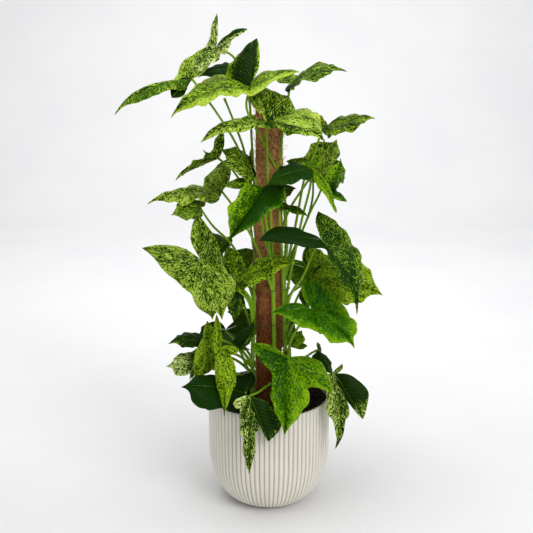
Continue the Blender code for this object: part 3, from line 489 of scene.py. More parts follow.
# Each stalk's middle line in millimetres, from inside its shoot to the underside of its blade.
# The last one of the back left shoot carries a blade that is still rolled up inside it.
PETIOLES = {
    "front": [
        [(6.2, -30.1, 455), (2, -32, 543), (-2, -32, 589), (-4, -38, 662), (-4.5, -52.2, 690.9),
         (-3.4, -53.3, 692.4)],
        [(7, -30.5, 400), (-19, -32, 474), (-40, -14, 512), (-62, 2, 543), (-80.6, 15.7, 564.8),
         (-81.8, 14.8, 566.5)],
        [(6.4, -30.2, 440), (-9, -33, 506), (-15, -35, 553), (-23.3, -36.9, 597.4),
         (-22.9, -38, 599.2)],
        [(6.6, -30.3, 425), (-2, -38, 502), (-7, -44, 546), (-9.2, -52.7, 586.4), (-9.5, -54.9, 586.2)],
        [(9.7, -32.4, 222), (3, -55, 239), (-19, -84, 235), (-31.8, -103.7, 237.9),
         (-32, -105.7, 237.1)],
        [(9.6, -32.1, 234), (17, -48, 260), (26, -62, 283), (31.8, -72.8, 294.2), (31.9, -75, 294.1)],
    ],
    "front_right": [
        [(26.3, -18.2, 371), (27, -17, 557), (-2, -29, 641), (-36, -39, 710), (-30.2, -34.2, 744.9),
         (-31.6, -35.2, 746.3)],
        [(24.7, -18, 420), (17, -34, 560), (21, -20, 660), (27, 1, 700), (35.3, 11.7, 745.8),
         (35.9, 11, 747.8)],
        [(24.9, -18, 412), (46, 1, 512), (60, -1, 591), (76, 7, 632), (87.3, 0.7, 669.8),
         (87.9, 0, 671.8)],
        [(26.3, -18.2, 370), (54, -12, 513), (68, -22, 577), (71.1, -34.7, 613), (70.3, -36.2, 614.4)],
        [(24.4, -18, 428), (31, -21, 479), (27, -19, 523), (24.6, -28.6, 548.2), (25.7, -30.1, 549.4)],
        [(30.3, -21, 256), (37, -48, 314), (55, -57, 352), (71.3, -73.4, 381.4), (72.5, -75.1, 382.2)],
        [(28.2, -19.5, 307), (41, -24, 334), (54, -21, 355), (67.1, -22.9, 367.3),
         (67.4, -24.7, 368.7)],
        [(26.9, -18.6, 350), (39, -34, 399), (57, -46, 430), (71, -62, 471), (83.2, -73.8, 502.1),
         (85, -75.1, 502.1)],
        [(27.8, -19.2, 320), (47, -18, 379), (61, -14, 406), (67.7, -8.4, 421.3), (68.8, -9.9, 422.5)],
        [(32.1, -22.4, 222), (54, -26, 235), (90, -27, 239), (113.8, -33, 248.6),
         (114.8, -34.9, 248.1)],
        [(31.4, -21.9, 234), (49, -30, 265), (69, -34, 284), (83.6, -38.4, 295), (85.1, -40, 295.1)],
        [(31.1, -21.6, 241), (37, -26, 265), (37, -30, 288), (36.3, -38.3, 301.4),
         (36.6, -39.4, 303.3)],
    ],
    "left": [
        [(-26.6, -12.4, 382), (-50, 0, 445), (-67, -2, 479), (-96, -19, 513), (-116.6, -16.6, 543.2),
         (-116.8, -18.3, 544.6)],
        [(-28.9, -12.9, 285), (-32, -30, 370), (-53, -46, 407), (-89, -62, 437),
         (-113.9, -72.9, 467.4), (-112.9, -74.8, 467.1)],
        [(-26.8, -12.2, 370), (-54, -17, 406), (-92, -23, 421), (-111.4, -32.7, 430.7),
         (-110.9, -34.8, 430.1)],
        [(-26.2, -12.8, 406), (-40, -11, 426), (-57, 1, 448), (-71.1, 8.6, 466.7), (-70.9, 7, 468.2)],
        [(-28, -12.5, 320), (-30, -28, 378), (-43, -40, 405), (-55.2, -48.6, 417.3), (-55.1, -50, 419)],
        [(-28.1, -12.5, 318), (-40, -13, 357), (-49, -13, 388), (-51.4, -28.1, 408.1),
         (-50.5, -29.9, 407.2)],
        [(-29.5, -16.2, 237), (-40, -22, 258), (-47, -31, 282), (-52.7, -43.4, 298),
         (-51, -44.5, 298.8)],
        [(-29.2, -14.5, 259), (-53, -20, 292), (-84, -24, 309), (-100.6, -32.7, 319.7),
         (-100.5, -34.9, 319.2)],
        [(-29.3, -14.9, 254), (-51, -30, 280), (-74, -56, 299), (-83.9, -77.9, 314.6),
         (-83.1, -79.9, 314.1)],
        [(-29.4, -15.8, 242), (-55, -18, 266), (-97, -15, 287), (-119.1, -14.2, 302.8),
         (-119.8, -15.3, 304.6)],
        [(-29.6, -17.3, 222), (-61, -22, 246), (-104, -20, 253), (-124.8, -23.4, 265.5),
         (-124.9, -25.2, 266.8)],
        [(-29.6, -17.3, 222), (-36, -30, 232), (-40, -53, 226), (-40.9, -65.9, 225.1),
         (-40.9, -67.2, 226.9)],
    ],
    "back_right": [
        [(16.1, 25, 478), (21, 46, 585), (-10, 51, 700), (-52.8, 61.5, 770.2), (-53.8, 60, 771.5)],
        [(17, 25, 400), (62, 14, 507), (75, 24, 549), (76.9, 33.1, 580.3), (78.2, 31.3, 580.9)],
        [(17.2, 25.2, 380), (64, 8, 514), (84, 3, 559), (88.7, 1.9, 571.6), (90.1, 0.2, 571.9)],
        [(16.1, 25, 478), (23, 41, 553), (15, 47, 634), (8.6, 62.4, 685.8), (9.4, 63.6, 687.4)],
        [(16.1, 25, 478), (35, 42, 527), (65, 62, 570), (86.6, 79.4, 598.3), (87.1, 81.4, 599.1)],
        [(17.6, 25.6, 338), (39, 48, 371), (68, 72, 385), (86.1, 91.2, 398.7), (87.1, 93.2, 399.1)],
    ],
    "back_left": [
        [(-18, 24, 424), (-29, 19, 641), (-35, 13, 731), (-57, 21, 789), (-86.2, 1.5, 805.4),
         (-87.3, -0.3, 806.1)],
        [(-18, 24, 415), (-33, 12, 578), (-53, 4, 643), (-85, -6, 699), (-126.2, -3.8, 756.1),
         (-127.6, -5.1, 757.3)],
        [(-18.1, 24.1, 395), (-40, 10, 552), (-59, 12, 599), (-85, 20.9, 621), (-86.6, 19.8, 622.3)],
        [(-18, 24, 448), (-24, 40, 487), (-17, 52, 530), (-12.5, 63.5, 554.3), (-13.1, 65.4, 555.2)],
        [(-18.5, 24.3, 373), (-34, 34, 401), (-62, 48, 418), (-81.4, 59.4, 433.4),
         (-82.1, 61.3, 434.1)],
        [(-20.9, 26.3, 251), (-22, 39, 275), (-11, 55, 297), (-2.7, 68.2, 311.6), (-1.9, 70.2, 312.1)],
        [(-21.1, 26.7, 235), (-41, 42, 264), (-65, 51, 284), (-79.3, 58.1, 295.8), (-80, 60.2, 296.1)],
        [(-18.7, 24.3, 366), (-18, 32, 388), (-10, 44, 410), (-2.2, 58.2, 426.5), (-2, 60.3, 427.1)],
        [(-18, 24, 440), (-31, 20, 576), (-43, 18, 637), (-61, 14, 689), (-75, 10, 725)],
    ],
}


def unit(vector):
    return vector / max(np.linalg.norm(vector), 1e-9)


def smooth_path(points, count):
    """Places at even spacing along a smooth line through the points, in metres."""
    points = np.array(points, float) * MM
    knots = np.concatenate([[2 * points[0] - points[1]], points, [2 * points[-1] - points[-2]]])
    run = np.concatenate([[0], np.cumsum(np.linalg.norm(np.diff(points, axis=0), axis=1))])
    path = []
    for place in np.linspace(0, run[-1], count):
        i = min(np.searchsorted(run, place, side="right") - 1, len(points) - 2)
        t = (place - run[i]) / (run[i + 1] - run[i])
        a, b, c, d = knots[i : i + 4]
        bend = (2 * a - 5 * b + 4 * c - d) * t * t + (-a + 3 * b - 3 * c + d) * t**3
        path.append(0.5 * (2 * b + (c - a) * t + bend))
    return np.array(path)


def add_bar(shape, path, radii, sides=10):
    """Adds a round bar along a path, closed at both ends."""
    ahead = np.gradient(path, axis=0)
    ahead /= np.linalg.norm(ahead, axis=1, keepdims=True)
    side = unit(np.cross(ahead[0], (1.0, 0, 0) if abs(ahead[0][0]) < 0.8 else (0, 1.0, 0)))
    frames = []
    for way in ahead:
        side = unit(side - way * (side @ way))
        frames.append((side, np.cross(way, side)))
    ends = len(path) + 1

    def place(column, ring):
        i = min(max(ring - 1, 0), len(path) - 1)
        turn = 2 * math.pi * column / sides
        radius = 0 if ring in (0, ends) else radii[i]
        return path[i] + radius * (math.cos(turn) * frames[i][0] + math.sin(turn) * frames[i][1])

    wrap_grid(shape, sides, ends + 1, place)


def living_green():
    """Young stem tissue: satin and waxy, with lighter streaks along it and drifts of tone."""
    material, shader = new_material("green stem tissue", 0.45, 0.2)
    place = add_node(material, "TexCoord").outputs["Object"]
    stretched = add_node(material, "Mapping", {"Vector": place, "Scale": (900.0, 900.0, 45.0)})
    inputs = {"Vector": stretched.outputs["Vector"], "Scale": 1.0, "Detail": 3.0}
    streaks = add_node(material, "TexNoise", inputs).outputs["Fac"]
    drift = add_node(material, "TexNoise", {"Vector": place, "Scale": 16.0, "Detail": 2.0})
    tone = drift.outputs["Fac"]
    stops = [(0.35, "#77a81c"), (0.52, "#a4cc34"), (0.7, "#cfe26e")]
    lines = add_node(material, "ValToRGB", {"Fac": streaks}, stops=stops).outputs["Color"]
    pair = {0: tone, 6: lines, 7: linear("#7cab16")}
    shade = add_node(material, "Mix", pair, data_type="RGBA").outputs[2]
    bump = add_node(material, "Bump", {"Height": streaks, "Strength": 0.25, "Distance": 0.0003})
    span = {"Value": tone, "To Min": 0.34, "To Max": 0.48}
    rough = add_node(material, "MapRange", span).outputs["Result"]
    feed(material, shader, Base_Color=shade, Normal=bump.outputs["Normal"], Roughness=rough)
    return material


def add_shoot(shape, line):
    """One shoot, swollen at its joints, with a thin scar round each."""
    path = smooth_path(line, SHOOT_RINGS)
    joint = (path[:, 2] % JOINT_SPACING) / JOINT_SPACING
    swell = 0.16 * np.exp(-(((joint - 0.5) / 0.10) ** 2))
    scar = 0.10 * np.exp(-(((joint - 0.62) / 0.03) ** 2))
    radii = np.linspace(STEM_RADIUS, STEM_TIP_RADIUS, SHOOT_RINGS) * (0.94 + (swell - scar))
    radii[-3:] *= (0.9, 0.7, 0.4)
    add_bar(shape, path, radii, 14)


def add_stalk(shape, line):
    """One leaf stalk: a sheath that clasps the shoot, a slim bar, and a knee under the blade."""
    length = np.sum(np.linalg.norm(np.diff(np.array(line), axis=0), axis=1))
    count = int(14 + length // 7)
    share = np.linspace(0, 1, count)
    radii = STALK_RADIUS + (STALK_END_RADIUS - STALK_RADIUS) * share
    sheath = 1.5 * MM * np.exp(-share * length / 14)
    knee = 0.5 * MM * np.clip((share - 0.96) / 0.04, 0, 1)
    add_bar(shape, smooth_path(line, count), radii + sheath + knee, 9)


def make_shoots():
    material = living_green()
    for name, line in STEMS.items():
        shape = bmesh.new()
        add_shoot(shape, line)
        for stalk in PETIOLES[name]:
            add_stalk(shape, stalk)
        add_piece("shoot_" + name, shape, material, "stem", "stem_" + name)


make_shoots()

# Air roots: brown wiry roots from the joints of the shoots, which feel their way to the coir, with
# a red-brown stub where an old leaf was cut and a pointed bud beside it.
AIR_ROOTS = (
    ((8, -32, 262), (2, -29, 257), (-3, -27, 250), (-6, -24, 243)),
    ((7, -31, 338), (12, -29, 332), (14, -24, 322), (13, -21, 312)),
    ((-28, -13, 300), (-24, -15, 292), (-20, -17, 281), (-16, -18, 272)),
    ((28, -19, 300), (23, -20, 294), (19, -19, 285), (15, -19, 276)),
    ((17, 26, 352), (21, 20, 344), (22, 12, 333), (21, 7, 325)),
    ((-18, 24, 380), (-22, 18, 372), (-23, 10, 361), (-22, 5, 350)),
    ((-27, -12, 405), (-24, -15, 398), (-20, -16, 390), (-17, -17, 380)),
)
STUB_RADII = (3, 3, 2.8, 2.7, 2.6, 2.6, 2.3, 1.5)
BUD_RADII = (1.5, 2.2, 2.5, 2.5, 2.3, 2.0, 1.7, 1.4, 1.1, 0.8, 0.5, 0.2)
STUB = ((29, -22, 279), (30, -27, 284), (30.5, -30, 289))
BUD = ((10, -36, 258), (8.5, -39, 262), (7.5, -41, 268), (7.5, -41.5, 275))


def brown_root():
    """Dry root bark: dull red-brown, paler where it has cracked across."""
    material, shader = new_material("dry root bark", 0.75, 0.3)
    place = add_node(material, "TexCoord").outputs["Object"]
    cracks = add_node(material, "TexNoise", {"Vector": place, "Scale": 700.0, "Detail": 3.0})
    stops = [(0.4, "#5a2a16"), (0.7, "#96603a")]
    return colour_by(material, shader, cracks.outputs["Fac"], stops, 0.5, 0.0004)


def make_roots():
    shape = bmesh.new()
    for line in AIR_ROOTS:
        add_bar(shape, smooth_path(line, 14), np.linspace(1.0, 0.5, 14) * MM, 7)
    for line, radii in ((STUB, STUB_RADII), (BUD, BUD_RADII)):
        add_bar(shape, smooth_path(line, len(radii)), np.array(radii) * MM, 10)
    add_piece("air_roots", shape, brown_root(), "stem")


make_roots()

# Ties: soft paper-covered garden wire, pale green, drawn once round the pole and the shoots at
# two heights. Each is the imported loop, merged and rounded.


def paper_wire():
    """Twisted paper cover: matt and pale, with a fine slanting twist about a millimetre wide."""
    material, shader = new_material("paper-covered wire", 0.8, 0.25)
    place = add_node(material, "TexCoord").outputs["Object"]
    inputs = {"Vector": place, "Scale": 320.0, "Distortion": 1.0}
    twist = add_node(material, "TexWave", inputs, bands_direction="DIAGONAL").outputs["Fac"]
    stops = [(0.2, "#5d6030"), (0.8, "#84884e")]
    return colour_by(material, shader, twist, stops, 0.4, 0.0003)


def make_ties():
    material = paper_wire()
    for node in ("tie_upper", "tie_lower"):
        shape = bmesh.new()
        shape.from_mesh(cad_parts[node].data)
        bmesh.ops.remove_doubles(shape, verts=shape.verts, dist=1e-5)
        piece = add_piece(node + "_wire", shape, material, "tie", node)
        rounding = piece.modifiers.new("rounding", "SUBSURF")
        rounding.levels = rounding.render_levels = 1


make_ties()

# Leaf blades: thin three-lobed arrowhead blades, each arched along its three midribs and waved
# at its edge. Chlorophyll is missing in specks and dashes that follow the side veins, so a blade
# is a net of dark green, lime and cream, with solid dark patches where nothing is missing. Each
# part's tone also carries painted shade and painted light: parts in shadow are painted darker,
# parts that are lit or lit through are painted lighter.
BLADE_THICKNESS = 0.55 * MM
SEAM = 8e-6
RIM_START, RIM_SPAN = 0.55, 0.45
MIDDLE_COLUMNS, LOBE_COLUMNS, ROWS = 44, 26, 14
BEND, TIP_DROOP = 0.08, 0.05
RIB_SINK_MM, RIB_WIDTH_MM = 0.5, 1.4
SWELL_MM, SWELL_SHARE = 17, 0.03


def across(vector, axis):
    """The part of a vector that is square to an axis."""
    return vector - axis * (vector @ axis) / (axis @ axis)


def evenly(points, count):
    """Points at even spacing along a line of points."""
    points = np.array(points)
    run = np.concatenate([[0], np.cumsum(np.linalg.norm(np.diff(points, axis=0), axis=1))])
    places = np.linspace(0, run[-1], count + 1)
    return np.stack([np.interp(places, run, points[:, k]) for k in range(3)], 1)


def shape_of(item, side, name, default):
    """A leaf's own value for one side, or for both, or the default."""
    value = item.get(name + ("_right" if side > 0 else "_left"))
    return item.get(name, default) if value is None else value


def cheek(item, side):
    """The widest point of the middle lobe on one side, from where the stalk ends."""
    start = np.array(item["at"], float)
    along = np.array(item["tip"]) - start
    given = shape_of(item, side, "cheek", None)
    if given is not None:
        return np.array(given) - start
    lobe = np.array(item["right" if side > 0 else "left"]) - start
    return 0.3 * along + unit(across(lobe, along)) * 0.36 * np.linalg.norm(along)


def upward(item):
    """The direction that the upper face of the middle lobe looks in."""
    along = np.array(item["tip"], float) - item["at"]
    return unit(unit(np.cross(cheek(item, 1), along)) + unit(np.cross(along, cheek(item, -1))))


def middle_margin(start, along, widest, waist, pinch):
    """The edge of the middle lobe from its tip back to its waist."""
    place = np.clip((widest @ along) / (along @ along), 0.12, 0.75)
    width = across(widest, along)
    waist = min(waist, place)
    line = []
    for t in np.linspace(1, place, 45):
        share = math.sin(math.pi / 2 * (1 - t) / (1 - place)) ** 1.15
        line.append(start + t * along + width * share)
    for t in np.linspace(place, waist, 16)[1:]:
        back = (place - t) / max(place - waist, 1e-6)
        line.append(start + t * along + width * (1 - (1 - pinch) * back * back))
    return line


def lobe_margins(start, tip, waist, outer, inner):
    """The two edges of a side lobe: waist to tip, and tip back to the stalk."""
    rib = tip - start
    reach = np.linalg.norm(rib)
    out = unit(across(waist - start, rib))
    t = np.linspace(0, 1, 30)[:, None]
    bulge = waist + 0.55 * (tip - waist) + out * outer * reach
    first = (1 - t) ** 2 * waist + 2 * t * (1 - t) * bulge + t**2 * tip
    near = tip - 0.30 * rib - out * inner * reach
    far = start + 0.25 * rib - out * inner * 0.8 * reach
    second = (1 - t) ** 3 * tip + 3 * t * (1 - t) ** 2 * near + 3 * t**2 * (1 - t) * far + t**3 * start
    return first, second, out


def half_frame(item, side):
    """Edge and rib points of half a blade, with the rise along its rib and the normal at each."""
    start = np.array(item["at"], float)
    along = np.array(item["tip"], float) - start
    tip = np.array(item["right" if side > 0 else "left"], float)
    rib = tip - start
    widest = cheek(item, side)
    place = np.clip((widest @ along) / (along @ along), 0.12, 0.75)
    arch = item.get("bend", BEND) * np.linalg.norm(along) * 4 * place * (1 - place)
    widest = widest - upward(item) * arch
    waist = shape_of(item, side, "waist", 0.12)
    line = middle_margin(start, along, widest, waist, shape_of(item, side, "pinch", 0.9))
    bulges = shape_of(item, side, "outer", 0.14), shape_of(item, side, "inner", 0.30)
    first, second, out = lobe_margins(start, tip, line[-1], *bulges)
    edge = [evenly(line, MIDDLE_COLUMNS)]
    edge += [evenly(margin, LOBE_COLUMNS)[1:] for margin in (first, second)]
    up_and_down = np.linspace(0, 1, LOBE_COLUMNS + 1)[1:], np.linspace(1, 0, LOBE_COLUMNS + 1)[1:]
    rise = [np.linspace(1, 0, MIDDLE_COLUMNS + 1) ** 1.1, *up_and_down]
    ribs = [start + rise[0][:, None] * along] + [start + r[:, None] * rib for r in rise[1:]]
    normals = [side * unit(np.cross(across(widest, along), along))] * (MIDDLE_COLUMNS + 1)
    normals += [side * unit(np.cross(rib, out))] * (2 * LOBE_COLUMNS)
    edge, ribs, rise = (np.concatenate(part) for part in (edge, ribs, rise))
    return edge, ribs, rise, np.array(normals), along, rib


def half_blade(item, side, seed):
    """Points over half a blade in millimetres, and the same points before they are lifted."""
    edge, ribs, rise, normals, along, rib = half_frame(item, side)
    over = unit(normals[0] + half_frame(item, -side)[3][0])
    size, lobe = np.linalg.norm(along), np.linalg.norm(rib)
    out = np.linspace(0, 1, ROWS + 1)
    middle = (np.arange(len(rise)) <= MIDDLE_COLUMNS)[:, None]

    # Up is the whole blade's at the rib, and turns towards each half's own out to the edge.
    near = np.clip(rise / 0.35, 0, 1)[:, None]
    base = over * (1 - near) + np.where(middle, over, unit(normals[-1] + 0.7 * over)) * near
    span = np.clip(3.5 * np.linalg.norm(edge - ribs, axis=1) / size, 0, 1)[:, None]
    turned = (0.6 * out[None, :] * span)[..., None]
    up = base[:, None] * (1 - turned) + normals[:, None] * turned
    up /= np.linalg.norm(up, axis=-1, keepdims=True)

    # The halves narrow to their tips, with an uneven margin.
    rise, out = rise[:, None], out[None, :]
    place = np.linspace(0, 1, len(rise))[:, None]
    taper = np.where(middle, item.get("taper", 0.42), item.get("lobe_taper", 0.25))
    pinch = 1 - taper * np.clip((rise - 0.5) / 0.5, 0, 1) ** 1.5
    ragged = 0.045 * np.sin(19 * place + seed) + 0.03 * np.sin(43 * place + 2.0 * seed)
    pinch = pinch * (1 + item.get("ragged", 1.0) * ragged)
    flat = ribs[:, None] + (edge - ribs)[:, None] * (out * pinch)[..., None]

    # The rib arches, each half domes, the edge waves, the tip droops and the rib is sunk.
    arch = np.where(middle, item.get("bend", BEND) * size, item.get("lobe_bend", 0.06) * lobe)
    lift = arch * 4 * rise * (1 - rise)
    dome = item.get("dome", 0.05) * np.where(middle, size, lobe)
    lift = lift + dome * 4 * out * (1 - out) * np.sqrt(np.clip(np.sin(np.pi * rise), 0, 1))
    turn = 2 * np.pi * item.get("waves", 3) * place + item.get("phase", 0) + (0 if side > 0 else 1.9)
    lift = lift + item.get("wave", 0.03) * size * out**2 * span * np.sin(turn)
    lift = lift - TIP_DROOP * size * np.clip((rise - 0.7) / 0.3, 0, 1) ** 2 * middle
    width = np.linalg.norm(flat - ribs[:, None], axis=-1)
    lift = lift - RIB_SINK_MM * np.exp(-((width / RIB_WIDTH_MM) ** 2)) * span

    # Finer ripples at the edge, and soft swellings all over.
    ripple = np.sin(2.3 * turn + 1.1 * seed) * 0.017 * size * out**2
    ripple = ripple + np.sin(4.9 * turn + seed) * 0.007 * size * out**3
    shift = Vector((seed, 0, 0))
    swell = [noise.noise(Vector(spot) / SWELL_MM + shift) for spot in flat.reshape(-1, 3)]
    swell = np.reshape(swell, lift.shape) * SWELL_SHARE * size * span * np.sqrt(out)
    lift = lift + ripple * span + swell
    return flat + lift[..., None] * up, flat


def vein_place(points, start, rib):
    """Distance along a rib and out from it, in millimetres."""
    way = unit(rib)
    offset = points - start
    run = offset @ way
    return run, np.linalg.norm(offset - run[..., None] * way, axis=-1)


def paint_of(item, side, middle, inner, share):
    """Tone at a share of the way to the lobe's tip: 0 is all dark, 1 is all light. It holds the leaf's
    own variegation together with painted shade and painted light.
    """
    tones, tips = item["tones"], item["tips"]
    if middle:
        body, tip = tones[0 if side < 0 else 1], tips[0]
    else:
        body, tip = tones[(2 if side < 0 else 4) + inner], tips[1 if side < 0 else 2]
    turn = max(0.0, (share - 0.6) / 0.4)
    return (body * (1 - turn) + tip * turn) / 9


def add_half(shape, item, side, seed, layers):
    """Adds half a blade as a grid, with its vein places and its tones on the face corners."""
    points, flat = half_blade(item, side, seed)
    columns = len(points) - 1
    start, along = np.array(item["at"], float), np.array(item["tip"], float) - item["at"]
    rib = np.array(item["right" if side > 0 else "left"], float) - start
    made = bmesh.ops.create_grid(shape, x_segments=columns, y_segments=ROWS, size=1)["verts"]
    spot = {}
    for vert in made:
        i, j = round((vert.co.x + 1) / 2 * columns), round((vert.co.y + 1) / 2 * ROWS)
        spot[vert] = (i, j)
        vert.co = points[i, j] * MM
    zones = {is_middle: (vein_place(flat, start, line), np.linalg.norm(line))
             for is_middle, line in ((True, along), (False, rib))}
    faces = {face for vert in made for face in vert.link_faces}
    for face in faces:
        last = max(spot[vert][0] for vert in face.verts)
        inner = last > MIDDLE_COLUMNS + LOBE_COLUMNS
        (run, width), length = zones[last <= MIDDLE_COLUMNS]
        for corner in face.loops:
            i, j = spot[corner.vert]
            # The tone carries painted shade and painted light as well as the leaf's own variegation.
            tone = paint_of(item, side, last <= MIDDLE_COLUMNS, inner, run[i, j] / length)
            rim = max(0, (j / ROWS - RIM_START) / RIM_SPAN) * item.get("margin", 1.0)
            corner[layers["paint"]] = (tone, item["tint"] / 9, item["smooth"] / 9, rim)
            # No two leaves, halves or lobe sides share a stretch of the pattern.
            shift = 300 * seed + 150 * (side > 0) + 40 * inner
            corner[layers["veins"]].uv = (run[i, j] + shift, width[i, j])
    return list(faces)


def make_blade(name, item, seed, material, slot):
    """One blade: two halves joined at the ribs, then a lower face and a thin wall all round."""
    shape = bmesh.new()
    layers = {
        "paint": shape.loops.layers.float_color.new("paint"),
        "veins": shape.loops.layers.uv.new("veins"),
    }
    under = shape.verts.layers.float.new("under")
    for side in (1, -1):
        faces = add_half(shape, item, side, seed, layers)
        shape.normal_update()
        leaning = sum(face.normal.dot(Vector(upward(item))) for face in faces)
        if leaning < 0:
            bmesh.ops.reverse_faces(shape, faces=faces)
    bmesh.ops.remove_doubles(shape, verts=shape.verts, dist=SEAM)
    shape.normal_update()
    lower = [(vert, vert.normal * BLADE_THICKNESS) for vert in shape.verts]
    bmesh.ops.extrude_face_region(shape, geom=shape.faces[:], use_keep_orig=True)
    for vert, drop in lower:
        vert.co -= drop
        vert[under] = 1.0
    walls = {f for f in shape.faces if 0 < sum(vert[under] for vert in f.verts) < len(f.verts)}
    for corner in (corner for face in walls for corner in face.loops):
        beside = next(other for other in corner.vert.link_loops if other.face not in walls)
        corner[layers["paint"]] = beside[layers["paint"]]
        corner[layers["veins"]].uv = beside[layers["veins"]].uv
    add_piece("blade_" + name, shape, material, slot, "leaf_" + name)


def variegated_tissue(name, dark, green, lime, cream):
    """Waxy leaf tissue: a net of dark and light that follows the veins, satin on top.

    The veins map gives millimetres along the rib and out from it. Paint gives tone, tint and how
    smooth the tissue is, and its alpha rises towards the rim. The specks are drawn a little
    coarser than real, to show.
    """
    material, shader = new_material(name, 0.45, 0.11)
    paint = add_node(material, "Attribute", attribute_name="paint")
    parts = add_node(material, "SeparateColor", {"Color": paint.outputs["Color"]})
    tone, tint, smooth = (parts.outputs[k] for k in ("Red", "Green", "Blue"))
    veins = add_node(material, "UVMap", uv_map="veins").outputs["UV"]
    under = add_node(material, "Attribute", attribute_name="under").outputs["Fac"]

    # Each layer's grain along and across in millimetres, its detail, and its lean in degrees.
    grain = {}
    for layer, (along_mm, across_mm, detail, lean) in {
        "specks": (4.2, 1.5, 2.0, 24),
        "dashes": (11.0, 4.0, 2.0, 16),
        "patches": (36.0, 18.0, 1.0, 10),
        "blisters": (9.0, 5.0, 3.0, 32),
        "wander": (30.0, 14.0, 1.0, 32),
    }.items():
        inputs = {"Vector": veins, "Rotation": (0, 0, math.radians(-lean))}
        turned = add_node(material, "Mapping", inputs).outputs["Vector"]
        inputs = {"Vector": turned, "Scale": (1 / along_mm, 1 / across_mm, 1.0)}
        stretched = add_node(material, "Mapping", inputs).outputs["Vector"]
        inputs = {"Vector": stretched, "Scale": 1.0, "Detail": detail, "Roughness": 0.6}
        drawn = add_node(material, "TexNoise", {**inputs, "Distortion": 0.5})
        grain[layer] = drawn.outputs["Fac"]
    net = 0.0
    for layer, share in {"specks": 0.60, "dashes": 0.23, "patches": 0.17}.items():
        inputs = {0: grain[layer], 1: share, 2: net}
        net = add_node(material, "Math", inputs, operation="MULTIPLY_ADD").outputs[0]

    # Dark and smooth tissue has little net; the rim of a blade is a little paler.
    span = {"Value": tone, "From Min": 0.05, "From Max": 0.33, "To Min": 0.12, "To Max": 1.0}
    settled = add_node(material, "MapRange", span).outputs["Result"]
    span = {"Value": paint.outputs["Alpha"], "To Min": 0.06, "To Max": 0.23}
    rim = add_node(material, "MapRange", span, clamp=False).outputs["Result"]
    inputs = {0: smooth, 1: -4.6, 2: 5.2}
    strength = add_node(material, "Math", inputs, operation="MULTIPLY_ADD").outputs[0]
    inputs = {0: strength, 1: settled}
    contrast = add_node(material, "Math", inputs, operation="MULTIPLY").outputs[0]
    centred = add_node(material, "Math", {0: net, 1: 0.5}, operation="SUBTRACT").outputs[0]
    inputs = {0: tone, 1: 0.58, 2: rim}
    base = add_node(material, "Math", inputs, operation="MULTIPLY_ADD").outputs[0]
    inputs = {0: centred, 1: contrast, 2: base}
    level = add_node(material, "Math", inputs, operation="MULTIPLY_ADD").outputs[0]
    stops = [(0.30, dark), (0.44, green), (0.58, lime)]
    plain, pale = (
        add_node(material, "ValToRGB", {"Fac": level}, stops=[*stops, (0.84, last)]).outputs["Color"]
        for last in (lime, cream)
    )
    colour = add_node(material, "Mix", {0: tint, 6: plain, 7: pale}, data_type="RGBA").outputs[2]

    # Side veins 7 mm or so apart, slanting towards the tip, and the midrib itself.
    place = add_node(material, "SeparateXYZ", {"Vector": veins})
    run, width = place.outputs["X"], place.outputs["Y"]
    slant = add_node(material, "Math", {0: width, 1: -0.8, 2: run}, operation="MULTIPLY_ADD")
    inputs = {0: grain["wander"], 1: 5.0, 2: slant.outputs[0]}
    bent = add_node(material, "Math", inputs, operation="MULTIPLY_ADD").outputs[0]
    beside = add_node(material, "Math", {0: bent, 1: 3.6}, operation="PINGPONG").outputs[0]
    span = {"Value": beside, "From Min": 0.1, "From Max": 0.9, "To Min": 1.0, "To Max": 0.0}
    side_vein = add_node(material, "MapRange", span).outputs["Result"]
    span = {"Value": width, "From Min": 0.2, "From Max": 1.0, "To Min": 1.0, "To Max": 0.0}
    midrib = add_node(material, "MapRange", span).outputs["Result"]
    for mask, share, shown in ((side_vein, 0.10, lime), (midrib, 0.28, lime), (under, 0.40, "#5d8526")):
        amount = add_node(material, "Math", {0: mask, 1: share}, operation="MULTIPLY").outputs[0]
        pair = {0: amount, 6: colour, 7: linear(shown)}
        colour = add_node(material, "Mix", pair, data_type="RGBA").outputs[2]

    # The tissue swells between its sunken side veins, and is duller underneath.
    sunk = add_node(material, "Math", {0: side_vein, 1: -1.0}, operation="MULTIPLY").outputs[0]
    inputs = {0: grain["blisters"], 1: 1.2, 2: sunk}
    relief = add_node(material, "Math", inputs, operation="MULTIPLY_ADD").outputs[0]
    bump = add_node(material, "Bump", {"Height": relief, "Strength": 0.6, "Distance": 0.0010})
    inputs = {0: net, 1: 0.16, 2: 0.36}
    sheen = add_node(material, "Math", inputs, operation="MULTIPLY_ADD").outputs[0]
    inputs = {0: under, 1: 0.2, 2: sheen}
    rough = add_node(material, "Math", inputs, operation="MULTIPLY_ADD").outputs[0]
    feed(material, shader, Base_Color=colour, Roughness=rough, Normal=bump.outputs["Normal"])
    return material


TISSUES = {
    "mottled": variegated_tissue("mottled leaf tissue", "#123200", "#3c6600", "#98b816", "#d0e074"),
    "cream": variegated_tissue("cream leaf tissue", "#143400", "#3e6800", "#9eba2c", "#e8f0b0"),
    "dark": variegated_tissue("dark leaf tissue", "#103600", "#295800", "#7c9e10", "#bacc62"),
    "bright": variegated_tissue("bright leaf tissue", "#1c4800", "#417e00", "#8ab208", "#b8ce48"),
}
LEAVES = []


def leaf(name, look, at, tip, left, right, **item):
    """Notes one leaf: the end of its stalk and its three tips in millimetres, then its shape.

    Cheeks are places too; other shape values are shares of a length. The tones, from 0 to 9, are
    for the halves of the middle lobe, left then right, then the outer and inner half of the left
    lobe and of the right lobe; the tip tones are for the middle, left and right tip. Both hold the
    leaf's own variegation together with painted shade where a part is in shadow and painted light
    where it is lit or lit through.
    """
    LEAVES.append((name, look, dict(item, at=at, tip=tip, left=left, right=right)))
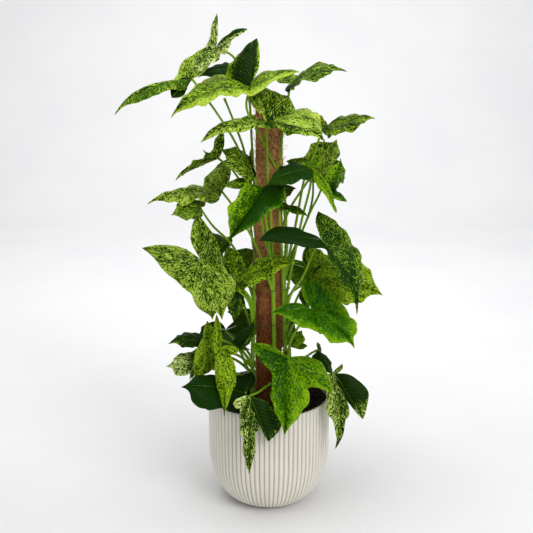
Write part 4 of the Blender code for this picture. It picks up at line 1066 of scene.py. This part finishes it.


# Tones here hold painted shade and light: shaded parts get low tones, lit and backlit parts high ones.
leaf("crown", "cream", (-87, 0, 807), (-122, -45, 768), (-35, -5, 837), (-85, 10, 862),
     cheek_left=(-88, -40, 786), cheek_right=(-116, -10, 795), outer_right=0.05, inner_right=0.1,
     outer_left=0.08, bend=0.05, ragged=2.2, wave=0.05, waves=5, tones=(6, 3, 7, 2, 7, 7),
     tips=(4, 1, 2), tint=7, smooth=0)
leaf("top_far_left", "mottled", (-127, -5, 758), (-249, -60, 710), (-157, -40, 730), (-107, 30, 806),
     cheek_left=(-191, -50, 732), cheek_right=(-179, -15, 752), outer_right=0.45, inner_right=0.55,
     waist_right=0.2, outer_left=0.3, taper=0.6, inner_left=0.45, tones=(4, 5, 1, 1, 8, 8),
     tips=(5, 1, 7), tint=6, smooth=2)
leaf("top_back", "dark", (-53, 60, 772), (-120, 30, 760), (-33, 50, 749), (-30, 95, 787),
     cheek_left=(-79, 30, 759), cheek_right=(-81, 60, 780), tones=(2, 1, 1, 1, 2, 2), tips=(2, 2, 3),
     tint=1, smooth=5)
leaf("top_left", "mottled", (-31, -35, 747), (-155, -95, 710), (50, -15, 769), (-20, 15, 822),
     cheek_left=(-100, -105, 726), cheek_right=(-78, 5, 765), inner_right=0.22, inner_left=0.6,
     outer_left=0.16, outer_right=0.25, taper=0.3, margin=2.6, tones=(6, 6, 6, 6, 2, 2), tips=(5, 6, 2),
     tint=4, smooth=4)
leaf("top_right", "dark", (35, 11, 748), (126, -9, 774), (13, 51, 757), (32, -24, 736),
     cheek_left=(82, 31, 780), cheek_right=(76, -24, 760), bend=0.06, ragged=1.8, margin=1.5,
     tones=(5, 4, 7, 7, 2, 2), tips=(4, 6, 2), tint=4, smooth=0)
leaf("top_front", "mottled", (-4, -53, 693), (88, -118, 672), (-19, 7, 742), (-108, -98, 665),
     cheek_left=(59, -18, 713), cheek_right=(35, -113, 682), bend=0.06, lobe_bend=0.1, inner_left=0.4,
     outer_left=0.25, outer_right=0.2, margin=1.6, tones=(7, 2, 4, 4, 4, 6), tips=(4, 6, 6), tint=6,
     smooth=1)
leaf("top_far_right", "mottled", (87, 0, 672), (174, -15, 698), (82, 35, 695), (101, -40, 670),
     cheek_left=(137, 20, 696), cheek_right=(135, -40, 678), bend=0.03, tones=(5, 4, 5, 5, 4, 4),
     tips=(4, 5, 5), tint=3, smooth=1)
leaf("left_curled", "mottled", (-86, 20, 623), (-159, -15, 594), (-112, 0, 640), (-80, 50, 666),
     cheek_left=(-124, -15, 613), cheek_right=(-123, 15, 622), wave=0.06, inner=0.2, bend=0.02,
     ragged=2.5, waves=5, tones=(4, 5, 4, 4, 5, 5), tips=(4, 4, 5), tint=3, smooth=0)
leaf("left_long", "mottled", (-81, 15, 567), (-204, -35, 560), (-104, -40, 559), (-76, 60, 614),
     cheek_left=(-135, -40, 557), cheek_right=(-140, 20, 571), waist_right=0.25, outer_right=0.22,
     bend=0.03, taper=0.8, ragged=1.8, tones=(7, 7, 6, 6, 7, 7), tips=(6, 6, 7), tint=6, smooth=0)
leaf("left_under", "mottled", (-116, -18, 545), (-161, -63, 543), (-134, -58, 537), (-112, 6, 551),
     cheek_left=(-142, -68, 533), cheek_right=(-144, -23, 559), bend=0.05, tones=(6, 6, 6, 5, 6, 6),
     tips=(6, 6, 6), tint=3, smooth=0)
leaf("centre_left", "mottled", (-22, -38, 599), (-78, -60, 651), (-73, -80, 593), (-30, -14, 645),
     cheek_left=(-62, -75, 621), cheek_right=(-40, -15, 639), outer_left=0.1, inner_left=0.25,
     tones=(5, 5, 7, 7, 5, 5), tips=(5, 6, 5), tint=4, smooth=0)
leaf("centre_front", "bright", (-9, -55, 587), (-67, -105, 505), (28, -50, 596), (-59, -80, 591),
     cheek_left=(27, -85, 578), cheek_right=(-63, -105, 570), inner=0.2, waist=0.2, taper=0.5,
     margin=1.9, tones=(1, 5, 1, 1, 5, 5), tips=(3, 1, 5), tint=1, smooth=3)
leaf("right_upper", "mottled", (78, 31, 580), (117, 21, 654), (49, 11, 618), (131, 51, 594),
     cheek_left=(68, 11, 645), cheek_right=(119, 36, 624), tones=(6, 7, 5, 5, 7, 7), tips=(6, 5, 6),
     tint=4, smooth=0)
leaf("right_edge", "bright", (90, 0, 571), (121, -15, 627), (111, -50, 542), (132, -15, 554),
     cheek_left=(98, -20, 606), cheek_right=(129, 5, 591), inner_right=0.4, tones=(6, 3, 7, 7, 2, 5),
     tips=(4, 7, 3), tint=2, smooth=1)
leaf("right_arching", "bright", (71, -36, 615), (-5, -91, 598), (107, -76, 549), (83, 9, 622),
     cheek_left=(28, -91, 595), cheek_right=(31, -36, 622), inner_left=0.25, outer_left=0.2, margin=1.5,
     tones=(0, 0, 7, 7, 6, 6), tips=(0, 6, 6), tint=1, smooth=3)
leaf("right_slim", "mottled", (25, -30, 550), (67, -55, 536), (18, -20, 555), (16, -50, 547),
     cheek_left=(45, -35, 551), cheek_right=(41, -50, 542), tones=(4, 4, 4, 4, 4, 4), tips=(4, 4, 4),
     tint=1, smooth=6)
leaf("left_large", "cream", (-113, -75, 468), (-76, -110, 375), (-119, -45, 541), (-209, -85, 491),
     cheek_left=(-60, -75, 433), cheek_right=(-136, -105, 427), waist_right=0.45, outer_right=0.02,
     waist_left=0.18, inner_right=0.2, bend=0.06, tones=(6, 6, 5, 5, 6, 6), tips=(6, 5, 5), tint=2,
     smooth=1)
leaf("left_pale", "mottled", (-111, -35, 431), (-96, -60, 358), (-78, -25, 419), (-149, -40, 409),
     cheek_left=(-81, -45, 389), cheek_right=(-127, -50, 391), tones=(8, 8, 8, 8, 8, 8), tips=(7, 7, 7),
     tint=5, smooth=0)
leaf("left_shaded", "dark", (-70, 7, 468), (-107, -13, 494), (-92, -13, 458), (-69, 27, 484),
     cheek_left=(-102, -13, 474), cheek_right=(-88, 17, 490), tones=(3, 3, 3, 3, 3, 3), tips=(3, 3, 3),
     tint=2, smooth=0)
leaf("middle_front", "mottled", (-56, -50, 419), (46, -90, 471), (-71, -5, 474), (-55, -80, 414),
     cheek_left=(-2, -60, 473), cheek_right=(-9, -90, 438), outer_left=0.3, waist_left=0.15,
     tones=(7, 6, 6, 5, 7, 6), tips=(7, 6, 6), tint=1, smooth=2)
leaf("left_hanging", "dark", (-50, -30, 408), (-60, -50, 353), (-40, -15, 383), (-74, -30, 402),
     cheek_left=(-45, -30, 370), cheek_right=(-72, -50, 385), tones=(3, 3, 3, 3, 3, 3), tips=(3, 3, 3),
     tint=2, smooth=0)
leaf("young_left", "dark", (-51, -45, 298), (-25, -35, 348), (-59, -60, 313), (-33, -40, 296),
     cheek_left=(-55, -55, 327), cheek_right=(-30, -30, 314), tones=(1, 3, 1, 2, 6, 6), tips=(1, 2, 6),
     tint=2, smooth=2)
leaf("right_bright", "bright", (72, -75, 383), (142, -125, 333), (63, -45, 434), (5, -100, 384),
     cheek_left=(137, -85, 377), cheek_right=(83, -125, 356), waist_left=0.55, outer_left=0.25,
     waist_right=0.45, bend=0.05, outer_right=0.04, tones=(5, 5, 5, 5, 5, 5), tips=(6, 5, 5), tint=1,
     smooth=8)
leaf("right_inner", "mottled", (68, -25, 368), (53, -30, 400), (46, -35, 375), (78, -20, 388),
     cheek_left=(52, -35, 388), cheek_right=(73, -25, 395), tones=(5, 5, 5, 5, 5, 5), tips=(5, 5, 5),
     tint=2, smooth=1)
leaf("right_streaked", "dark", (85, -75, 503), (147, -125, 392), (82, -35, 542), (-18, -110, 509),
     cheek_left=(141, -60, 498), cheek_right=(107, -120, 468), bend=0.06, waist_left=0.22,
     outer_left=0.32, inner_right=0.45, outer_right=0.12, inner_left=0.2, taper=0.8,
     tones=(4, 2, 4, 4, 0, 0), tips=(4, 4, 0), tint=5, smooth=2)
leaf("right_olive", "mottled", (68, -10, 423), (194, -50, 402), (65, 10, 470), (95, -40, 366),
     cheek_left=(152, 10, 449), cheek_right=(129, -60, 388), waist_left=0.25, outer_left=0.25,
     bend=0.05, waist_right=0.4, outer_right=0.05, tones=(7, 7, 6, 6, 6, 6), tips=(6, 6, 6), tint=1,
     smooth=2)
leaf("low_left_wide", "mottled", (-100, -35, 320), (-130, -70, 250), (-86, -20, 329), (-108, -35, 348),
     cheek_left=(-87, -45, 275), cheek_right=(-127, -55, 292), tones=(7, 7, 7, 7, 7, 7), tips=(7, 7, 7),
     tint=1, smooth=3)
leaf("low_left_narrow", "mottled", (-83, -80, 315), (-75, -125, 208), (-51, -75, 309), (-90, -60, 369),
     cheek_left=(-56, -95, 277), cheek_right=(-88, -105, 276), inner_right=0.15,
     tones=(7, 7, 7, 7, 7, 7), tips=(7, 7, 7), tint=1, smooth=3)
leaf("low_left_small", "dark", (-119, -15, 305), (-175, -45, 311), (-110, -45, 294), (-102, 10, 311),
     cheek_left=(-137, -45, 303), cheek_right=(-141, 0, 315), tones=(2, 2, 2, 2, 2, 2), tips=(2, 2, 2),
     tint=2, smooth=0)
leaf("low_left_cream", "cream", (-124, -25, 267), (-177, -65, 276), (-138, -60, 246), (-114, 10, 284),
     cheek_left=(-155, -60, 257), cheek_right=(-147, -20, 284), tones=(7, 7, 7, 6, 7, 7),
     tips=(6, 7, 7), tint=8, smooth=0)
leaf("rim_left", "dark", (-40, -67, 227), (-143, -132, 269), (-40, -87, 215), (-30, -27, 249),
     cheek_left=(-110, -135, 229), cheek_right=(-98, -57, 258), bend=0.05, taper=0.2, margin=1.5,
     tones=(0, 0, 0, 0, 0, 0), tips=(1, 0, 0), tint=1, smooth=8)
leaf("rim_front", "cream", (-32, -106, 238), (-34, -142, 108), (-1, -126, 163), (-61, -118, 229),
     cheek_left=(-19, -131, 189), cheek_right=(-49, -128, 195), waist_left=0.2, inner_left=0.6,
     outer_left=0.05, pinch_left=0.45, waist_right=0.25, ragged=3.5, margin=1.8, waves=4, wave=0.05,
     lobe_taper=0, taper=0.25, tones=(4, 4, 1, 1, 8, 8), tips=(3, 2, 8), tint=7, smooth=0)
leaf("low_front", "bright", (32, -75, 295), (26, -145, 185), (106, -105, 243), (-32, -85, 324),
     cheek_left=(68, -125, 245), cheek_right=(3, -125, 248), waist_left=0.38, inner_left=0.5,
     outer_left=0.05, pinch_left=0.85, waist_right=0.25, inner_right=0.2, bend=0.05, taper=0.3,
     lobe_taper=0.1, tones=(6, 4, 6, 6, 3, 6), tips=(6, 7, 5), tint=2, smooth=6)
leaf("rim_right", "cream", (115, -35, 249), (119, -90, 131), (165, -60, 173), (131, -10, 258),
     cheek_left=(138, -56, 204), cheek_right=(100, -80, 219), waist_left=0.2, outer_left=0.05,
     inner_left=0.55, pinch_left=0.3, ragged=2.0, lobe_taper=0, taper=0.2, tones=(4, 6, 1, 1, 7, 7),
     tips=(2, 6, 5), tint=6, smooth=1)
leaf("low_right_dark", "dark", (85, -40, 296), (111, -60, 255), (86, -20, 303), (75, -50, 277),
     cheek_left=(105, -40, 277), cheek_right=(88, -60, 270), tones=(2, 2, 4, 4, 4, 4), tips=(2, 4, 4),
     tint=2, smooth=2)
leaf("low_young", "bright", (36, -40, 303), (58, -30, 329), (26, -30, 329), (67, -50, 307),
     cheek_left=(42, -30, 324), cheek_right=(61, -45, 314), tones=(8, 8, 8, 8, 8, 8), tips=(8, 8, 8),
     tint=2, smooth=1)
leaf("back_top", "mottled", (9, 63, 688), (68, 158, 677), (-54, 59, 683), (32, 5, 683), bend=0.1,
     tones=(5, 5, 4, 5, 5, 4), tips=(5, 5, 5), tint=3, smooth=1)
leaf("back_upper", "dark", (-13, 65, 556), (-43, 160, 499), (-50, 15, 565), (48, 47, 565), bend=0.12,
     tones=(1, 2, 1, 1, 2, 2), tips=(1, 1, 2), tint=2, smooth=5)
leaf("back_right_upper", "mottled", (87, 81, 600), (112, 171, 540), (30, 61, 611), (127, 34, 611),
     bend=0.12, tones=(5, 6, 5, 5, 4, 5), tips=(5, 5, 5), tint=4, smooth=0)
leaf("back_left", "mottled", (-82, 61, 435), (-117, 151, 367), (-118, 8, 449), (-19, 47, 449),
     bend=0.12, tones=(6, 6, 5, 6, 6, 5), tips=(6, 5, 6), tint=4, smooth=0)
leaf("back_right", "bright", (87, 93, 400), (129, 178, 306), (17, 86, 421), (125, 33, 421), bend=0.12,
     tones=(5, 5, 4, 5, 5, 4), tips=(5, 5, 5), tint=2, smooth=4)
leaf("back_low", "mottled", (-2, 70, 313), (34, 170, 216), (-77, 53, 335), (45, 9, 335), bend=0.14,
     tones=(4, 5, 4, 4, 5, 5), tips=(4, 4, 5), tint=3, smooth=0)
leaf("back_left_low", "dark", (-80, 60, 297), (-108, 140, 202), (-122, 8, 320), (-14, 47, 320),
     bend=0.12, tones=(2, 1, 1, 1, 2, 2), tips=(2, 1, 1), tint=2, smooth=5)
leaf("back_centre", "mottled", (-2, 60, 428), (10, 154, 350), (-50, 36, 442), (39, 25, 442), bend=0.12,
     tones=(3, 4, 3, 3, 4, 4), tips=(4, 3, 4), tint=3, smooth=0)

for seed, (name, look, item) in enumerate(LEAVES):
    make_blade(name, item, seed, TISSUES[look], "leaf_" + look)
